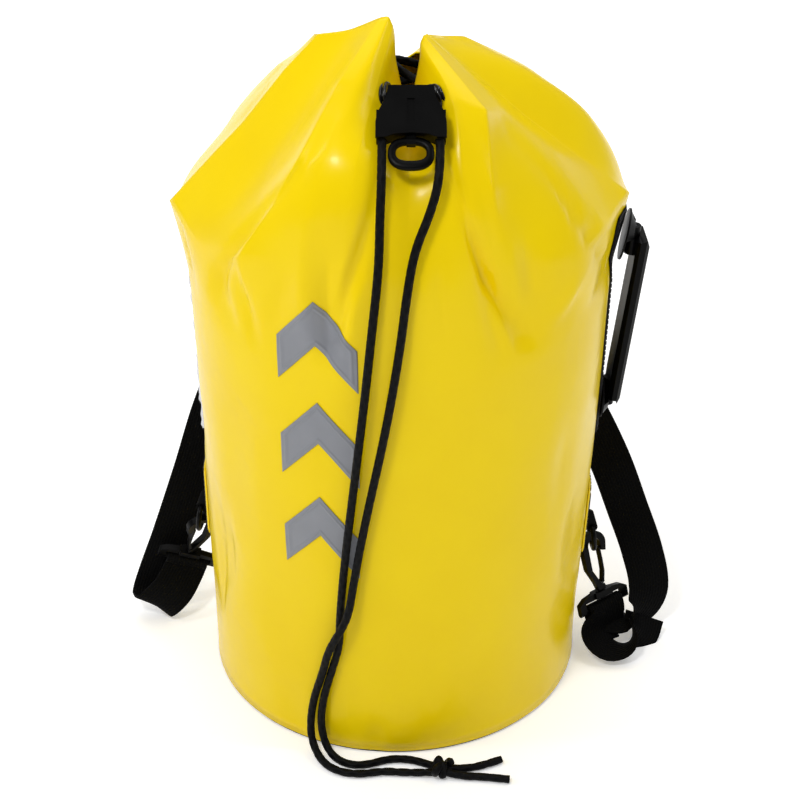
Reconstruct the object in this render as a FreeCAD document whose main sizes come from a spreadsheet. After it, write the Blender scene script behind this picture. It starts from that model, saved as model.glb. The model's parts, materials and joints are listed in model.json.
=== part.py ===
import FreeCAD, Part

import math
import os

from FreeCAD import Placement, Rotation, Vector

# Drawstring dry duffel standing upright: a welded tarpaulin tube gathered at the mouth by a cord,
# with a cord lock, a side carry handle and two shoulder straps hooked to rings near the base.
# Millimetres. Origin: middle of the base, on the ground. +Z up, the front faces -Y, the handle is at +X.

doc = FreeCAD.newDocument("dry_duffel")
sheet = doc.addObject("Spreadsheet::Sheet", "sizes")

SIZES = [
    # the bag
    ("base_diameter", 239.0), ("shoulder_diameter", 255.0), ("body_height", 280.0),
    ("neck_height", 177.0), ("wall", 1.2), ("seat_gap", 0.3), ("floor_thickness", 1.8),
    ("floor_flange", 18.0), ("flange_thickness", 1.2),
    # drawcord, eyelets and lock
    ("cord_diameter", 5.0), ("eyelet_diameter", 17.0), ("eyelet_bore", 8.4), ("eyelet_flange", 1.2),
    ("washer_thickness", 0.9), ("eyelet_grip", 1.6),
    ("lock_width", 38.4), ("lock_top_width", 25.0), ("lock_length", 31.0), ("lock_depth", 10.0),
    ("lock_plate", 1.8), ("lock_block_start", 14.0), ("bore_spacing", 31.4), ("bore_gap", 0.4),
    ("ring_width", 25.8), ("ring_length", 18.0), ("ring_thickness", 4.0), ("ring_bar", 3.8),
    ("release_travel", 5.0), ("stem_width", 5.0), ("jaw_depth", 4.0), ("lock_slide_travel", 18.0),
    ("knot_length", 17.0), ("knot_width", 15.0), ("knot_height", 13.0),
    # webbing and patches
    ("webbing_width", 28.0), ("webbing_thickness", 1.6), ("patch_thickness", 1.2),
    ("handle_patch_width", 30.0),
    ("chevron_half_width", 25.0), ("chevron_drop", 27.0), ("chevron_band", 27.5), ("chevron_thickness", 0.5),
    ("chevron_pitch", 65.0), ("chevron_tip", 322.0), ("chevron_angle", 335.2),
    ("pad_thickness", 8.0), ("pad_low", 62.0), ("pad_high", 268.0), ("pad_half_angle", 64.0),
    ("pad_wing_angle", 9.5), ("pad_wing_low", 150.0),
    # handle
    ("handle_low", 190.0), ("handle_high", 302.0), ("grip_width", 22.0), ("grip_depth", 7.8),
    ("grip_bow_low", -1.5), ("grip_bow_high", 1.0), ("mount_thickness", 1.2), ("knuckle_gap", 0.35),
    ("pin_diameter", 3.4), ("knuckle_radius", 4.2),
    ("knuckle_height", 7.0), ("mount_radius", 16.0), ("mount_dome", 4.0),
    # rings, swivel hooks and adjusters
    ("ring_wire", 3.3), ("ring_slack", 3.4), ("ring_reach", 20.0), ("ring_span", 27.0),
    ("tab_width", 22.0), ("tab_stand_off", 5.0),
    ("hook_thickness", 4.6), ("hook_eye", 5.1), ("hook_bar", 4.7), ("hook_height", 43.5),
    ("base_width", 41.0), ("base_slot_width", 31.0), ("base_slot_height", 4.2), ("base_bar", 4.0),
    ("base_depth", 7.0), ("shank_diameter", 5.0), ("adjuster_width", 36.0), ("adjuster_height", 22.0),
    ("adjuster_bar", 3.2),
]
for row, (alias, value) in enumerate(SIZES, start=1):
    sheet.set("A%d" % row, alias)
    sheet.set("B%d" % row, str(value))
    sheet.setAlias("B%d" % row, alias)
doc.recompute()


def size(alias):
    return float(getattr(sheet, alias))


def bind(item, **expressions):
    for prop, expression in expressions.items():
        item.setExpression(prop, expression)
    return item


CELL = "sizes."
sub_parts = []


def publish(item, node):
    """Give a sub-part its node name and put it on the list that is written out."""
    item.Label = node
    sub_parts.append(item)
    return item


def feature(node, shape, placement=Placement()):
    item = doc.addObject("Part::Feature", node)
    item.Shape = shape
    item.Placement = placement
    return publish(item, node)


# ------------------------------------------------------------------ the skin of the bag
BASE_RADIUS = size("base_diameter") / 2
SHOULDER_RADIUS = size("shoulder_diameter") / 2
BODY_HEIGHT = size("body_height")
DESIGN_SHOULDER, DESIGN_BODY, DESIGN_NECK = 127.5, 280.0, 177.0
LEAN = 3.0                       # the filled bag leans this much towards +X
HEM = size("floor_thickness") + 0.2   # the wall ends just above the floor disc

# Each fold of the gathered neck, going round from the front: angle on the body, then the
# shoulder, middle, eyelet-line and rim points of its ridge or valley, and how sharp it is.
FOLDS = [
    (0, (1, -120, 346), (3, -97, 384), (5, -48, 392), (6, -30, 402), 0.3),
    (10, (20, -119, 346), (20, -100, 388), (19.3, -61, 418), (12, -33, 430), 0.3),
    (18, (35, -117, 342), (32, -102, 387), (27, -69, 422), (13, -28, 438), 0.3),
    (27, (50, -112, 338), (48, -101, 381), (46, -77, 417), (15, -25, 441), 0.9),
    (49, (95, -86, 331), (82, -60, 376), (60, -44, 403), (17, -21, 440), 0.0),
    (90, (141, 0, 329), (106, -8, 359), (74, -12, 386), (19, -16, 438), 1.0),
    (107, (140, 36, 320), (120, 28, 366), (84, 16, 399), (27, 2, 430), 0.0),
    (128, (108, 80, 316), (104, 58, 360), (80, 34, 398), (42, 18, 423), 0.6),
    (149, (64, 106, 312), (58, 82, 355), (44, 50, 388), (28, 30, 410), 0.2),
    (165, (32, 122, 320), (28, 100, 364), (20, 72, 396), (14, 43, 404), 0.6),
    (180, (0, 117, 312), (0, 90, 352), (0, 52, 382), (2, 36, 400), 0.2),
    (195, (-32, 122, 320), (-30, 98, 365), (-24, 70, 398), (-16, 48, 416), 0.6),
    (211, (-62, 106, 312), (-54, 78, 355), (-44, 44, 390), (-30, 28, 408), 0.2),
    (232, (-102, 82, 318), (-92, 60, 366), (-68, 34, 402), (-44, 18, 424), 0.6),
    (252, (-128, 42, 316), (-98, 28, 366), (-68, 16, 404), (-46, 8, 430), 0.0),
    (270, (-135, 0, 331), (-90, 0, 379), (-64, 0, 412), (-44, -2, 434), 1.0),
    (292, (-112, -54, 322), (-76, -42, 372), (-46, -30, 412), (-26, -16, 442), 0.0),
    (314, (-93, -88, 336), (-57, -92, 397), (-33, -65, 431), (-9, -33, 455), 0.9),
    (330, (-60, -109, 343), (-44, -100, 397), (-22, -69, 428), (-5, -36, 456), 0.0),
    (343, (-34, -117, 345), (-27, -105, 395), (-14, -66, 425), (-3, -37, 452), 0.3),
    (352, (-16, -119, 346), (-12, -103, 390), (-7.6, -60, 419), (-1, -35, 430), 0.3),
]
BODY_RINGS = 5                   # straight bands between the hem and the shoulder
COLUMN_SPAN = 8.5                # degrees between columns, at most
NECK_STEPS = 2                   # rows between neighbouring neck levels


def neck_point(point):
    """A point of the neck at the design size, carried to the present size."""
    wide = SHOULDER_RADIUS / DESIGN_SHOULDER
    tall = size("neck_height") / DESIGN_NECK
    return Vector(point[0] * wide, point[1] * wide, BODY_HEIGHT + (point[2] - DESIGN_BODY) * tall)


def body_radius(z):
    return BASE_RADIUS + (SHOULDER_RADIUS - BASE_RADIUS) * z / BODY_HEIGHT


def body_lean(z):
    return LEAN * max(0.0, min(1.0, (z - 0.15 * BODY_HEIGHT) / (0.55 * BODY_HEIGHT)))


def beside_bag(angle, gap, z):
    """A place a given gap off the body; the angle runs from the front towards +X."""
    turn = math.radians(angle)
    height = z * BODY_HEIGHT / DESIGN_BODY
    reach = body_radius(height) + gap
    return Vector(body_lean(height) + reach * math.sin(turn), -reach * math.cos(turn), z)


def smooth(a, b, slope_a, slope_b, span, t):
    """Cubic through a and b with the given end slopes."""
    return (a * (2 * t ** 3 - 3 * t ** 2 + 1) + slope_a * span * (t ** 3 - 2 * t ** 2 + t)
            + b * (-2 * t ** 3 + 3 * t ** 2) + slope_b * span * (t ** 3 - t ** 2))


def refine_up(levels):
    """Rows between the neck levels; the body below stays straight."""
    count = len(levels[0])
    gaps = [[(b - a).Length for a, b in zip(low, high)] for low, high in zip(levels, levels[1:])]
    slopes = [[(b - a) * (1 / d) for a, b, d in zip(low, high, row)]
              for low, high, row in zip(levels, levels[1:], gaps)]
    rows = list(levels[:BODY_RINGS])
    for i in range(BODY_RINGS, len(levels) - 1):
        for step in range(NECK_STEPS):
            row = []
            for j in range(count):
                before = slopes[i - 1][j] * gaps[i][j] + slopes[i][j] * gaps[i - 1][j]
                slope_a = before * (1 / (gaps[i][j] + gaps[i - 1][j]))
                slope_b = slopes[i][j]
                if i + 1 < len(slopes):
                    after = slopes[i][j] * gaps[i + 1][j] + slopes[i + 1][j] * gaps[i][j]
                    slope_b = after * (1 / (gaps[i + 1][j] + gaps[i][j]))
                row.append(smooth(levels[i][j], levels[i + 1][j], slope_a, slope_b, gaps[i][j],
                                  step / NECK_STEPS))
            rows.append(row)
    rows.append(levels[-1])
    return rows


def columns_after(j):
    """How many columns lie from this fold up to the next one."""
    following = FOLDS[(j + 1) % len(FOLDS)][0] or 360
    return max(2, math.ceil((following - FOLDS[j][0]) / COLUMN_SPAN))


def refine_round(row, sharp):
    """Columns between the folds; a sharp fold keeps a straight run on either side."""
    count = len(row)
    result = []
    for j in range(count):
        a, b = row[j], row[(j + 1) % count]
        before, after = row[j - 1], row[(j + 2) % count]
        span = (b - a).Length
        along = (b - a) * (1 / span)
        slopes = []
        for here, behind, ahead, keen in ((a, before, b, sharp[j]), (b, a, after, sharp[(j + 1) % count])):
            gap_in, gap_out = (here - behind).Length, (ahead - here).Length
            bend = ((here - behind) * (gap_out / gap_in) + (ahead - here) * (gap_in / gap_out))
            bend = bend * (1 / (gap_in + gap_out))
            slopes.append(bend * (1 - keen) + along * keen)
        steps = columns_after(j)
        for step in range(steps):
            result.append(smooth(a, b, slopes[0], slopes[1], span, step / steps))
    return result


def skin_rows():
    levels = []
    for ring in range(BODY_RINGS + 1):
        z = HEM + (BODY_HEIGHT - HEM) * ring / BODY_RINGS
        levels.append([Vector(body_lean(z) + body_radius(z) * math.sin(math.radians(fold[0])),
                              -body_radius(z) * math.cos(math.radians(fold[0])), z) for fold in FOLDS])
    for level in range(1, 5):
        levels.append([neck_point(fold[level]) for fold in FOLDS])
    rows = refine_up(levels)
    keen = [fold[5] for fold in FOLDS]
    plain = [0.0] * len(FOLDS)
    return [refine_round(row, plain if i <= BODY_RINGS else keen) for i, row in enumerate(rows)]


def columns_between(start, end):
    """The skin's own columns between two angles, with the two ends, so that a patch lies flat on it."""
    turns = [angle + turn for turn in (-360, 0, 360) for angle in ANGLES]
    return [start] + sorted(a for a in turns if start + 1 < a < end - 1) + [end]


SKIN = skin_rows()
ANGLES = []
for j, fold in enumerate(FOLDS):
    following = FOLDS[(j + 1) % len(FOLDS)][0] or 360
    for step in range(columns_after(j)):
        ANGLES.append(fold[0] + (following - fold[0]) * step / columns_after(j))


def grid_normals(rows, wraps):
    count = len(rows[0])
    result = []
    for i, row in enumerate(rows):
        low, high = rows[max(i - 1, 0)], rows[min(i + 1, len(rows) - 1)]
        line = []
        for j in range(count):
            left = (j - 1) % count if wraps else max(j - 1, 0)
            right = (j + 1) % count if wraps else min(j + 1, count - 1)
            line.append((row[right] - row[left]).cross(high[j] - low[j]).normalize())
        result.append(line)
    return result


NORMALS = grid_normals(SKIN, True)


def column_at(angle):
    """The columns either side of an angle, and how far it lies between them."""
    angle = angle % 360
    left = max(j for j, a in enumerate(ANGLES) if a <= angle)
    right = (left + 1) % len(ANGLES)
    return left, right, (angle - ANGLES[left]) / ((ANGLES[right] or 360) - ANGLES[left])


def skin_on(angle, level, lift=0.0):
    """A place on the skin at this angle and row, lifted off it, and the way it faces."""
    left, right, share = column_at(angle)
    low = min(int(level), len(SKIN) - 2)
    rise = level - low
    blended = []
    for grid in (SKIN, NORMALS):
        # on the flat triangles that the solid is made of
        a, b = grid[low][left], grid[low][right]
        c, d = grid[low + 1][right], grid[low + 1][left]
        if rise <= share:
            blended.append(a + (b - a) * share + (c - b) * rise)
        else:
            blended.append(a + (d - a) * rise + (c - d) * share)
    place, out = blended
    out.normalize()
    return place + out * lift, out


def row_at(angle, z):
    """The row, with its fraction, where the skin at this angle is this high."""
    left, right, share = column_at(angle)
    heights = [row[left].z * (1 - share) + row[right].z * share for row in SKIN]
    low = 0
    while low < len(heights) - 2 and heights[low + 1] < z:
        low += 1
    return low + (z - heights[low]) / (heights[low + 1] - heights[low])


def skin_at(angle, z, lift=0.0):
    return skin_on(angle, row_at(angle, z), lift)


def solid_from_grids(outer, inner, wraps):
    """Closed solid between two matching grids of points, as flat triangles."""
    rows, count = len(outer), len(outer[0])
    points = [p for row in outer for p in row] + [p for row in inner for p in row]
    shift = rows * count
    triangles = []

    def quad(a, b, c, d):
        triangles.extend([(a, b, c), (a, c, d)])

    last = count if wraps else count - 1
    for i in range(rows - 1):
        for j in range(last):
            a, b = i * count + j, i * count + (j + 1) % count
            quad(a, b, b + count, a + count)
            quad(shift + b, shift + a, shift + a + count, shift + b + count)
    for j in range(last):
        a, b = j, (j + 1) % count
        quad(b, a, shift + a, shift + b)
        top = (rows - 1) * count
        quad(top + a, top + b, shift + top + b, shift + top + a)
    if not wraps:
        for i in range(rows - 1):
            a, b = i * count, (i + 1) * count
            quad(a, b, shift + b, shift + a)
            a, b = a + count - 1, b + count - 1
            quad(b, a, shift + a, shift + b)
    shape = Part.Shape()
    shape.makeShapeFromMesh((points, triangles), 0.001)
    shape.sewShape()
    solid = Part.Solid(Part.Shell(shape.Faces))
    if solid.Volume < 0:
        solid.reverse()
    return solid


def laid_sheet(grid, thickness, lift):
    """A sheet that follows the skin through rows of (angle, skin row) places."""
    under = [[skin_on(angle, level, lift)[0] for angle, level in row] for row in grid]
    over = [[skin_on(angle, level, lift + thickness)[0] for angle, level in row] for row in grid]
    return solid_from_grids(over, under, False)


def split(stops, parts):
    """The stops with equal steps put in between."""
    return [a + (b - a) * i / parts for a, b in zip(stops, stops[1:]) for i in range(parts)] + stops[-1:]


def laid_patch(middle, half_turn, low, high, thickness, lift, parts=1):
    """A four-sided patch; it bends where the skin does, so it lies flat on it."""
    first, last = row_at(middle, low), row_at(middle, high)
    levels = [first] + [level for level in range(len(SKIN)) if first + 0.1 < level < last - 0.1] + [last]
    angles = columns_between(middle - half_turn, middle + half_turn)
    angles, levels = split(angles, parts), split(levels, parts)
    return laid_sheet([[(angle, level) for angle in angles] for level in levels], thickness, lift)


def spread(start, end, steps):
    return [start + (end - start) * i / steps for i in range(steps + 1)]


def angle_for(length, z):
    """The angle that spans this length round the body."""
    return math.degrees(length / body_radius(z))


# ------------------------------------------------------------------ eyelets
# Eyelet centres on the eyelet line and the way each faces: front left, front right, then the back.
EYELETS = [
    ((-7.6, -60, 419), (0.93, -0.30, 0.20)),
    ((19.3, -61, 418), (-0.86, -0.47, -0.10)),
    ((62, 42, 393), (0.45, 0.86, 0.25)),
    ((32.5, 60.5, 392), (0.60, 0.78, 0.15)),
    ((-34, 57, 394), (-0.62, 0.76, 0.15)),
    ((-56, 39.5, 396), (-0.42, 0.87, 0.25)),
]


def eyelet_frames():
    frames = []
    for centre, facing in EYELETS:
        out = Vector(*facing).normalize()
        across = Vector(0, 0, 1).cross(out).normalize()
        frames.append(Placement(neck_point(centre), Rotation(across, out.cross(across), out, "ZXY")))
    return frames


EYELET_FRAMES = eyelet_frames()
HALF_GRIP = size("eyelet_grip") / 2


def ring_solid(outer, inner, low, high):
    tube = Part.makeCylinder(outer, high - low, Vector(0, 0, low))
    return tube.cut(Part.makeCylinder(inner, high - low + 2, Vector(0, 0, low - 1)))


def placed(shape, frame):
    copy = shape.copy()
    copy.Placement = frame
    return copy


def placed_by(shape, frame):
    """The shape carried by a frame on top of the place that it already has."""
    copy = shape.copy()
    copy.Placement = frame * copy.Placement
    return copy


def build_eyelets():
    bore, flange = size("eyelet_bore") / 2, size("eyelet_diameter") / 2
    front = ring_solid(flange, bore, HALF_GRIP, HALF_GRIP + size("eyelet_flange"))
    barrel = ring_solid(bore + 1.1, bore, -HALF_GRIP - size("washer_thickness") - 0.4, HALF_GRIP + 0.4)
    eyelet = front.fuse(barrel).removeSplitter()
    washer = ring_solid(flange - 0.5, bore + 1.25, -HALF_GRIP - size("washer_thickness"), -HALF_GRIP)
    feature("eyelets", Part.makeCompound([placed(eyelet, f) for f in EYELET_FRAMES]))
    feature("eyelet_washers", Part.makeCompound([placed(washer, f) for f in EYELET_FRAMES]))


# ------------------------------------------------------------------ bag body and base
def build_bag():
    wall = size("wall")
    inner = [[p - n * wall for p, n in zip(row, line)] for row, line in zip(SKIN, NORMALS)]
    inner[0] = [Vector(p.x, p.y, HEM) for p in inner[0]]
    body = solid_from_grids(SKIN, inner, True)
    reach = size("eyelet_diameter") / 2 + 0.15
    depth = 12.0
    for frame in EYELET_FRAMES:
        hole = Part.makeCylinder(reach, depth, Vector(0, 0, -depth / 2))
        hole.rotate(Vector(), Vector(0, 0, 1), 17)
        before = body.Volume
        body = body.cut(placed_by(hole, frame))
        if body.Volume > before - 0.5 * math.pi * reach ** 2 * wall:
            raise RuntimeError("an eyelet hole was not cut")
    feature("bag_body", body)


def build_base():
    """Stiff floor disc with a flange that is welded inside the wall."""
    body = doc.addObject("PartDesign::Body", "base_panel")
    sketch = body.newObject("Sketcher::SketchObject", "base_profile")
    plane = next(f for f in body.Origin.OriginFeatures if f.Role == "XZ_Plane")
    sketch.AttachmentSupport = [(plane, "")]
    sketch.MapMode = "FlatFace"
    edge = BASE_RADIUS - 1.0
    facet = math.cos(math.pi / len(ANGLES))
    flange = (BASE_RADIUS - size("wall")) * facet - size("seat_gap") - 0.5
    thick, rise, skin = size("floor_thickness"), size("floor_flange"), size("flange_thickness")
    profile = [(0, 0), (edge, 0), (edge, thick), (flange, thick), (flange, thick + rise),
               (flange - skin, thick + rise), (flange - skin, thick), (0, thick)]
    for start, end in zip(profile, profile[1:] + profile[:1]):
        sketch.addGeometry(Part.LineSegment(Vector(start[0], start[1], 0), Vector(end[0], end[1], 0)))
    turn = body.newObject("PartDesign::Revolution", "base_turn")
    turn.Profile = sketch
    turn.ReferenceAxis = (sketch, ["V_Axis"])
    turn.Angle = 360
    publish(body, "base_panel")


# ------------------------------------------------------------------ chevrons, patches and back pad
def build_chevrons():
    for index, name in enumerate(("upper", "middle", "lower")):
        tip = (size("chevron_tip") - index * size("chevron_pitch")) * BODY_HEIGHT / DESIGN_BODY
        half, drop, band = size("chevron_half_width"), size("chevron_drop"), size("chevron_band")
        turn = angle_for(half, BODY_HEIGHT)
        middle = size("chevron_angle")
        angles = columns_between(middle - turn, middle)[:-1] + columns_between(middle, middle + turn)
        grid = []
        for level in spread(-band, 0.0, 4):
            row = []
            for angle in angles:
                side = abs(angle - size("chevron_angle")) / turn
                row.append((angle, row_at(angle, tip + level - drop * side)))
            grid.append(row)
        feature("chevron_" + name, laid_sheet(grid, size("chevron_thickness"), size("seat_gap")))


PAD_MIDDLE = 183.0


def build_pad():
    """Four-sided pad with a wing at its upper left that reaches round the side."""
    first, corner = PAD_MIDDLE - size("pad_half_angle"), PAD_MIDDLE + size("pad_half_angle")
    tip = corner + size("pad_wing_angle")
    angles = columns_between(first, corner) + columns_between(corner + 1.5, tip)
    grid = []
    for share in spread(0.0, 1.0, 14):
        row = []
        for angle in angles:
            low = size("pad_low") if angle <= corner else size("pad_wing_low")
            row.append((angle, row_at(angle, low + (size("pad_high") - low) * share)))
        grid.append(row)
    feature("back_pad", laid_sheet(grid, size("pad_thickness"), size("seat_gap")))


PATCH_LIFT = size("seat_gap") + 0.15
# each ring's bar: angle round the bag, height, and how far the ring leans out from hanging flat
RING_PLACES = {"right": (91.4, 89.0, 9.0), "left": (260.2, 101.0, 9.0)}


def build_patches():
    turn = angle_for(size("handle_patch_width") / 2, BODY_HEIGHT)
    feature("handle_patch", laid_patch(90, turn, size("handle_low") - 22, size("handle_high") + 18,
                                       size("patch_thickness"), PATCH_LIFT, 4))
    for side, (angle, z, _) in RING_PLACES.items():
        feature("ring_patch_" + side, laid_patch(angle, angle_for(25.0, z), z - 8, z + 42,
                                                 size("patch_thickness"), PATCH_LIFT))
    feature("strap_anchor", laid_patch(180, 34, 286, 308, size("patch_thickness"), PATCH_LIFT, 4))


# ------------------------------------------------------------------ cord lock
# Lock frame: X across, Y down the lock from its top edge, Z out from the bag, on the mid-plane.
LOCK_ORIGIN = neck_point((5.25, -70.7, 427.8))
LOCK_ACROSS = Vector(0.9986, -0.0523, 0).normalize()
LOCK_DOWN = Vector(-0.04, -0.765, -0.643).normalize()
LOCK_OUT = LOCK_DOWN.cross(LOCK_ACROSS).normalize()
# X across, Y up the lock, Z out: a right-handed frame for the moulded pieces
LOCK_FRAME = Placement(LOCK_ORIGIN, Rotation(LOCK_ACROSS, LOCK_DOWN * -1, LOCK_OUT, "ZXY"))


def lock_place(across, down, out=0.0):
    return LOCK_ORIGIN + LOCK_ACROSS * across + LOCK_DOWN * down + LOCK_OUT * out


def sketch_on(body, name, role, offset=None):
    sketch = body.newObject("Sketcher::SketchObject", name)
    plane = next(f for f in body.Origin.OriginFeatures if f.Role == role)
    sketch.AttachmentSupport = [(plane, "")]
    sketch.MapMode = "FlatFace"
    if offset is not None:
        sketch.AttachmentOffset = Placement(Vector(0, 0, offset), Rotation())
    return sketch


def add_outline(sketch, points):
    for start, end in zip(points, points[1:] + points[:1]):
        sketch.addGeometry(Part.LineSegment(Vector(start[0], start[1], 0), Vector(end[0], end[1], 0)))


def pad_feature(body, sketch, name, expression, reversed_=False):
    pad = body.newObject("PartDesign::Pad", name)
    pad.Profile = sketch
    pad.Reversed = reversed_
    pad.setExpression("Length", expression)
    return pad


def pocket_feature(body, sketch, name, expression, reversed_=False):
    pocket = body.newObject("PartDesign::Pocket", name)
    pocket.Profile = sketch
    pocket.Reversed = reversed_
    pocket.setExpression("Length", expression)
    return pocket


def build_lock():
    half, top = size("lock_width") / 2, size("lock_top_width") / 2
    length, deep = size("lock_length"), size("lock_depth") / 2
    start, bore_x = size("lock_block_start"), size("bore_spacing") / 2
    arch = 2.6
    plate_back = deep - size("lock_plate")
    body = doc.addObject("PartDesign::Body", "lock_housing")
    # front plate with the full outline; its lower edge is an arch over the finger ring
    outline = [(-top, 0), (-top - 0.6, -6), (-half + 0.8, -17), (-half, -22), (-half, -length)]
    arch_points = [(-half + 5.4, -length), (-9, -length + arch * 0.7), (0, -length + arch),
                   (9, -length + arch * 0.7), (half - 5.4, -length)]
    outline += arch_points + [(half, -length), (half, -22), (half - 0.8, -17), (top + 0.6, -6), (top, 0)]
    plate = sketch_on(body, "plate_outline", "XY_Plane", plate_back)
    add_outline(plate, outline)
    pad_feature(body, plate, "front_plate", CELL + "lock_plate")
    # block that the cords run through, behind the plate
    block = sketch_on(body, "block_outline", "XY_Plane", -deep)
    wide = half - 0.4
    add_outline(block, [(-wide, -start), (-wide, -length)] + arch_points + [(wide, -length), (wide, -start)])
    pad_feature(body, block, "cord_block", CELL + "lock_depth - " + CELL + "lock_plate")
    # bores for the two cord runs
    bores = sketch_on(body, "bore_circles", "XZ_Plane", length + 1)
    for side in (-1, 1):
        radius = size("cord_diameter") / 2 + size("bore_gap")
        bores.addGeometry(Part.Circle(Vector(side * bore_x, 0, 0), Vector(0, 0, 1), radius))
    pocket_feature(body, bores, "cord_bores", "%slock_length - %slock_block_start + 2" % (CELL, CELL))
    # cavity for the jaw, its spring and the stem of the finger ring
    stem = size("stem_width") / 2 + 0.3
    jaw = bore_x - size("cord_diameter") / 2 + 0.1
    cavity_top = -(start + 2.0)
    cavity_low = cavity_top - size("jaw_depth") - size("release_travel") - 0.6
    slot_half = size("ring_thickness") / 2 + 0.3
    cavity = sketch_on(body, "jaw_cavity_outline", "XY_Plane", -slot_half)
    add_outline(cavity, [(-jaw, cavity_top), (-jaw, cavity_low), (-stem, cavity_low), (-stem, -length - 1),
                         (stem, -length - 1), (stem, cavity_low), (jaw, cavity_low), (jaw, cavity_top)])
    pocket_feature(body, cavity, "jaw_cavity", CELL + "ring_thickness + 0.6", True)
    # shallow decorative slot on the face
    slot = sketch_on(body, "face_slot_outline", "XY_Plane", deep)
    add_outline(slot, [(-2, -8), (-2, -23), (2, -23), (2, -8)])
    pocket_feature(body, slot, "face_slot", "0.8")
    doc.recompute()
    body.Placement = LOCK_FRAME
    publish(body, "lock_housing")
    # slider: jaw, stem and finger ring in one moulding
    slider = doc.addObject("PartDesign::Body", "lock_slider")
    half_ring = size("ring_thickness") / 2
    jaw_top, jaw_low = cavity_top - 0.3, cavity_top - 0.3 - size("jaw_depth")
    ring_half, bar = size("ring_width") / 2, size("ring_bar")
    ring_low = -length - size("ring_length") + 1.0
    profile = sketch_on(slider, "slider_outline", "XY_Plane", -half_ring)
    stem_half, jaw_half = size("stem_width") / 2, jaw - 0.35
    bend = 7.5
    add_outline(profile, [
        (-jaw_half, jaw_top), (-jaw_half, jaw_low), (-stem_half, jaw_low), (-stem_half, -length - 0.5),
        (-8, -length - 0.9), (-ring_half + 2, -length - 2.5), (-ring_half, -length - 5.5),
        (-ring_half + 1.5, ring_low + bend * 0.55), (-ring_half + bend, ring_low + 0.8),
        (-ring_half + bend * 1.35, ring_low), (ring_half - bend * 1.35, ring_low),
        (ring_half - bend, ring_low + 0.8), (ring_half - 1.5, ring_low + bend * 0.55),
        (ring_half, -length - 5.5), (ring_half - 2, -length - 2.5), (8, -length - 0.9),
        (stem_half, -length - 0.5), (stem_half, jaw_low), (jaw_half, jaw_low), (jaw_half, jaw_top)])
    pad_feature(slider, profile, "slider_plate", CELL + "ring_thickness")
    hole = sketch_on(slider, "finger_hole_outline", "XY_Plane", half_ring)
    hole_half, hole_top, hole_low = ring_half - bar, -length - 3.4, ring_low + bar
    middle = (hole_top + hole_low) / 2
    add_outline(hole, [(-hole_half, middle + 1), (-hole_half + 1, middle - 2.2), (-hole_half + 4.5, hole_low),
                       (hole_half - 4.5, hole_low), (hole_half - 1, middle - 2.2), (hole_half, middle + 1),
                       (hole_half - 2.5, hole_top - 1.2), (5, hole_top), (-5, hole_top),
                       (-hole_half + 2.5, hole_top - 1.2)])
    pocket_feature(slider, hole, "finger_hole", CELL + "ring_thickness")
    doc.recompute()
    slider.Placement = LOCK_FRAME
    publish(slider, "lock_slider")
    # return springs either side of the stem, between the jaw and the cavity floor
    coils, wire, coil_radius = 4, 0.6, 1.35
    tall = (jaw_low - 0.1) - (cavity_low + 0.1) - 2 * wire
    springs = []
    for side in (-1, 1):
        helix = Part.makeHelix(tall / coils, tall, coil_radius)
        section = Part.Wire(Part.makeCircle(wire / 2, Vector(coil_radius, 0, 0), Vector(0, 1, 0)))
        coil = Part.Wire(helix.Edges).makePipeShell([section], True, True)
        coil.Placement = Placement(Vector(side * 7.5, cavity_low + 0.1 + wire, 0),
                                   Rotation(Vector(1, 0, 0), -90))
        springs.append(coil)
    feature("lock_spring", Part.makeCompound(springs), LOCK_FRAME)


# ------------------------------------------------------------------ drawcord
def rounded_path(points):
    """Straight runs joined by tangent arcs, each as large as its two runs allow."""
    edges, radii, here = [], [], points[0]
    for before, corner, after in zip(points, points[1:], points[2:]):
        back, ahead = before - corner, after - corner
        short = 0.45 * min(back.Length, ahead.Length)
        back, ahead = back.normalize(), ahead.normalize()
        half_turn = (math.pi - back.getAngle(ahead)) / 2
        start, end = corner + back * short, corner + ahead * short
        radius = short / math.tan(half_turn)
        radii.append(radius)
        bisector = (back + ahead).normalize()
        middle = corner + bisector * (radius / math.cos(half_turn) - radius)
        edges.append(Part.LineSegment(here, start).toShape())
        edges.append(Part.Arc(start, middle, end).toShape())
        here = end
    edges.append(Part.LineSegment(here, points[-1]).toShape())
    return Part.Wire(edges), radii


def cord_tube(name, points):
    path, radii = rounded_path(points)
    radius = size("cord_diameter") / 2
    start = points[1] - points[0]
    section = Part.Wire(Part.makeCircle(radius, points[0], start))
    tube = path.makePipeShell([section], True, False)
    share = tube.Volume / (math.pi * radius ** 2 * path.Length)
    print("%s: length %.0f, volume share %.4f, radii %s" % (
        name, path.Length, share, " ".join("%.0f" % r for r in radii)))
    return tube


BORE = size("bore_spacing") / 2
LOCK_BOTTOM = size("lock_length")
TAIL_BEND = size("lock_length") + size("lock_slide_travel") + 3.0

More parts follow.
